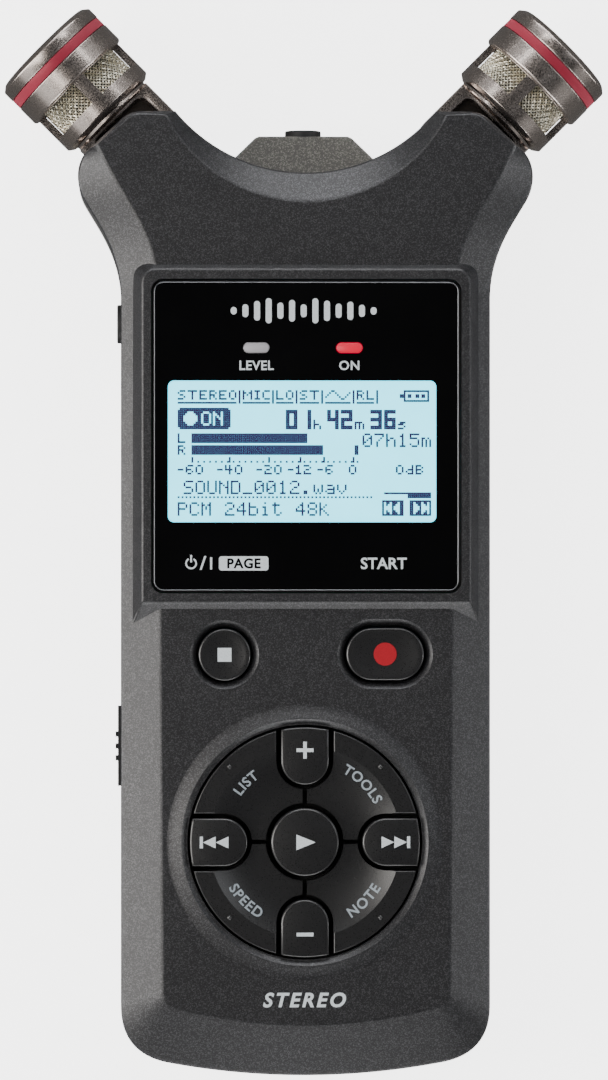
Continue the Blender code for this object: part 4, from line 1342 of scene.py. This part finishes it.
def make_mic_arm(side, label):
    """The tongue between the ears, with a pocket in its face and a near-black plate of painted shade on
    the pocket's floor, and the collar under the cage.
    """
    place = along(side)
    half = 4.3
    outline = arc((0.0, 0.0), 6.9, 180, 360, 48) + [(6.9, 8.0), (-6.9, 8.0)]
    ends = ((-half, 0.3), (-half + 0.3, 0.0), (half - 0.3, 0.0), (half, 0.3))
    rings = [placed(place, inset(outline, soft) if soft else outline, z) for z, soft in ends]
    arm = loft("arm", rings, MIC_METAL, 50.0)
    pocket = rounded(-5.0, 5.0, -5.0, 7.1, 1.1, 6, 4.9)
    levels = ((-1.9, 0.0), (-0.55, 0.0), (-0.25, 0.1), (-0.08, 0.28), (0.0, 0.6), (2.0, 0.6))
    rings = [placed(place, inset(pocket, -grow), half + z) for z, grow in levels]
    cut(arm, loft("pocket", rings, MIC_METAL))
    # A near-black plate on the pocket's floor: painted shade of the deep pocket.
    rings = [placed(place, inset(pocket, 0.03), half + z) for z in (-1.86, -1.6)]
    dress_mic(loft(f"mic_pocket_painted_shade_{label}", rings, MIC_POCKET_PAINTED_SHADE), label)
    collar = ((0.0, 7.9), (6.75, 7.9), (6.9, 8.05), (6.9, 8.45), (5.6, 8.6), (5.6, 10.4), (0.0, 10.4))
    fuse(arm, turned("collar", collar, MIC_METAL, 96, place=place))
    smooth(arm, 40.0)
    arm.name = f"mic_tongue_{label}"
    dress_mic(arm, label, "mic_arm")


def make_microphones():
    for side, label in ((-1, "left"), (1, "right")):
        for make in (make_mic_housing, make_mic_head, make_side_mesh, make_front_mesh, make_mic_arm):
            make(side, label)


# ---------------------------------------------------------------- small pieces


def make_jack(label, radius, start, end, place):
    """A jack's collar round its hole, from start to end along +Y, and a near-black disc just inside the
    hole, painted shade that stands in for its depth.
    """
    profile = rounded_profile(((1.8, start), (radius, start), (radius, end), (1.8, end)), 0.25)
    collar = turned(f"{label}_collar", profile, TRIM_BLACK, 64, closed=True, place=place)
    dress(collar, ROOT, f"{label}_jack")
    # The near-black disc closes the hole just inside the collar: painted shade of the deep hole.
    floor = ((0, start + 0.2), (1.85, start + 0.2), (1.85, start + 0.5), (0, start + 0.5))
    shade_disc = turned(f"{label}_well", floor, SHADE_BLACK, 32, place=place)
    dress(shade_disc, ROOT)


def make_jacks():
    low, high = box_mm("phones_jack")
    place = Matrix.Translation((low.x + 2.8, (low.y + high.y) / 2, PHONES_JACK_Z)) @ QUARTER_TURN
    make_jack("phones", 2.9, 0.0, 2.8, place)
    end = box_mm("input_jack")[1].y
    make_jack("input", 2.7, 58.0, end, Matrix.Translation((0, 0, INPUT_JACK_Z)))


CAD_FINISHES = (
    (REAR_PAINT, ("battery_cover", "card_door")),
    (TRIM_BLACK, ("hold_plate", "hold_switch", "speaker")),
    (STEEL, ("lcd_panel", "usb_socket", "card_socket", "pivot_pin_left", "pivot_pin_right")),
    (STEEL, ("positive_contact", "negative_spring", "bridge_contact")),
    (LIGHT_OFF, ("lcd_backlight",)),
    (CIRCUIT, ("main_board",)),
    (RUBBER, ("key_mat",)),
    (BRASS, ("tripod_nut",)),
    (CELL_JACKET, ("battery_left", "battery_right")),
    (DARK_STEEL, [f"case_screw_{i}" for i in range(1, 5)]),
)


def finish_cad_nodes():
    """CAD nodes that keep their shape get their finished material."""
    for material, nodes in CAD_FINISHES:
        for node in nodes:
            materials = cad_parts[node].data.materials
            materials.clear()
            materials.append(material)


# ---------------------------------------------------------------- studio


def softbox(name, place, aim, size, power, colour):
    data = bpy.data.lights.new(name, "AREA")
    data.shape = "RECTANGLE"
    data.size, data.size_y = size
    data.energy = power
    data.color = colour
    lamp = bpy.data.objects.new(name, data)
    bpy.context.scene.collection.objects.link(lamp)
    lamp.location = place
    lamp.rotation_euler = (Vector(aim) - Vector(place)).to_track_quat("-Z", "Y").to_euler()


CENTRE = (0.0, 0.0, 0.013)
WHITE = (1.0, 1.0, 1.0)
CASE_LIGHTS = (  # name, place, size, power, colour
    ("key", (-0.64, 0.0, 0.45), (0.42, 1.1), 6.8, (1.0, 0.965, 0.92)),
    ("fill", (0.60, 0.2, 0.50), (0.22, 0.9), 1.1, (0.95, 0.97, 1.0)),
    ("top", (0.0, 0.85, 0.42), (0.8, 0.3), 2.3, (0.93, 0.95, 1.0)),
    ("crest", (0.0, 0.58, 0.66), (0.8, 0.08), 1.7, WHITE),
    ("foot", (0.0, -0.8, 0.40), (0.7, 0.25), 2.0, WHITE),
    ("left_edge", (-0.9, -0.1, 0.2), (0.12, 0.8), 2.0, WHITE),
    ("right_edge", (0.9, -0.15, 0.13), (0.10, 0.8), 2.3, WHITE),
    ("foot_edge", (0.1, -0.9, 0.18), (0.8, 0.10), 2.4, WHITE),
    ("top_edge", (0.0, 0.9, 0.18), (0.8, 0.10), 2.4, WHITE),
)
MIC_AIM = (0.0, 0.068, 0.013)
MIC_LIGHTS = (  # name, place, power
    ("low_left", (-0.44, -0.34, 0.34), 0.45),
    ("high_left", (-0.40, 0.52, 0.34), 0.14),
    ("high_right", (0.40, 0.52, 0.34), 0.14),
    ("low_right", (0.44, -0.34, 0.34), 0.14),
)


def make_studio():
    bm = bmesh.new()
    half = 1500.0
    sheet = level(bar(-half, half, -half, half), -0.05)
    bm.faces.new([bm.verts.new(corner) for corner in sheet])
    floor = from_bmesh("floor", bm, floor_paper(), recalc=False)
    floor.visible_glossy = False
    for name, place, size, power, colour in CASE_LIGHTS:
        softbox(f"{name}_light", place, CENTRE, size, power, colour)
    for name, place, power in MIC_LIGHTS:
        softbox(f"mic_light_{name}", place, MIC_AIM, (0.4, 0.4), power, WHITE)
    world = bpy.data.worlds.new("studio")
    world.use_nodes = True
    tree = world.node_tree
    place = tree.nodes.new("ShaderNodeTexCoord")
    height = tree.nodes.new("ShaderNodeSeparateXYZ")
    shade = tree.nodes.new("ShaderNodeValToRGB")
    tree.links.new(place.outputs["Generated"], height.inputs["Vector"])
    tree.links.new(height.outputs["Z"], shade.inputs["Fac"])
    tree.links.new(shade.outputs["Color"], tree.nodes["Background"].inputs["Color"])
    low, high = shade.color_ramp.elements
    low.position, low.color = 0.3, (0.14, 0.14, 0.14, 1.0)
    high.position, high.color = 0.85, (0.018, 0.018, 0.020, 1.0)
    bpy.context.scene.world = world


CAMERA_HEIGHT = 0.90  # above the seam between the cases
VIEW_HEIGHT = 161.5  # millimetres of the seam's plane that the picture's height takes in


def make_camera():
    data = bpy.data.cameras.new("camera")
    data.sensor_fit = "VERTICAL"
    data.sensor_height = 24.0
    data.lens = data.sensor_height * CAMERA_HEIGHT / (VIEW_HEIGHT * MM)
    data.clip_start = 0.05
    camera = bpy.data.objects.new("camera", data)
    bpy.context.scene.collection.objects.link(camera)
    aim = Vector((0.0, 0.0, SEAM_Z * MM))
    camera.location = aim + Vector((-0.025, 0.0, CAMERA_HEIGHT))
    look = (aim - camera.location).normalized()
    right = look.cross(Vector((0.0, 1.0, 0.0))).normalized()
    up = right.cross(look)
    camera.rotation_euler = Matrix((right, up, -look)).transposed().to_euler()
    bpy.context.scene.camera = camera


make_camera()
make_front_shell()
make_rear_shell()
make_window()
make_lcd()
make_lcd_dots()
make_window_print()
make_keys()
make_key_print()
make_foot_print()
make_microphones()
make_jacks()
finish_cad_nodes()
make_studio()
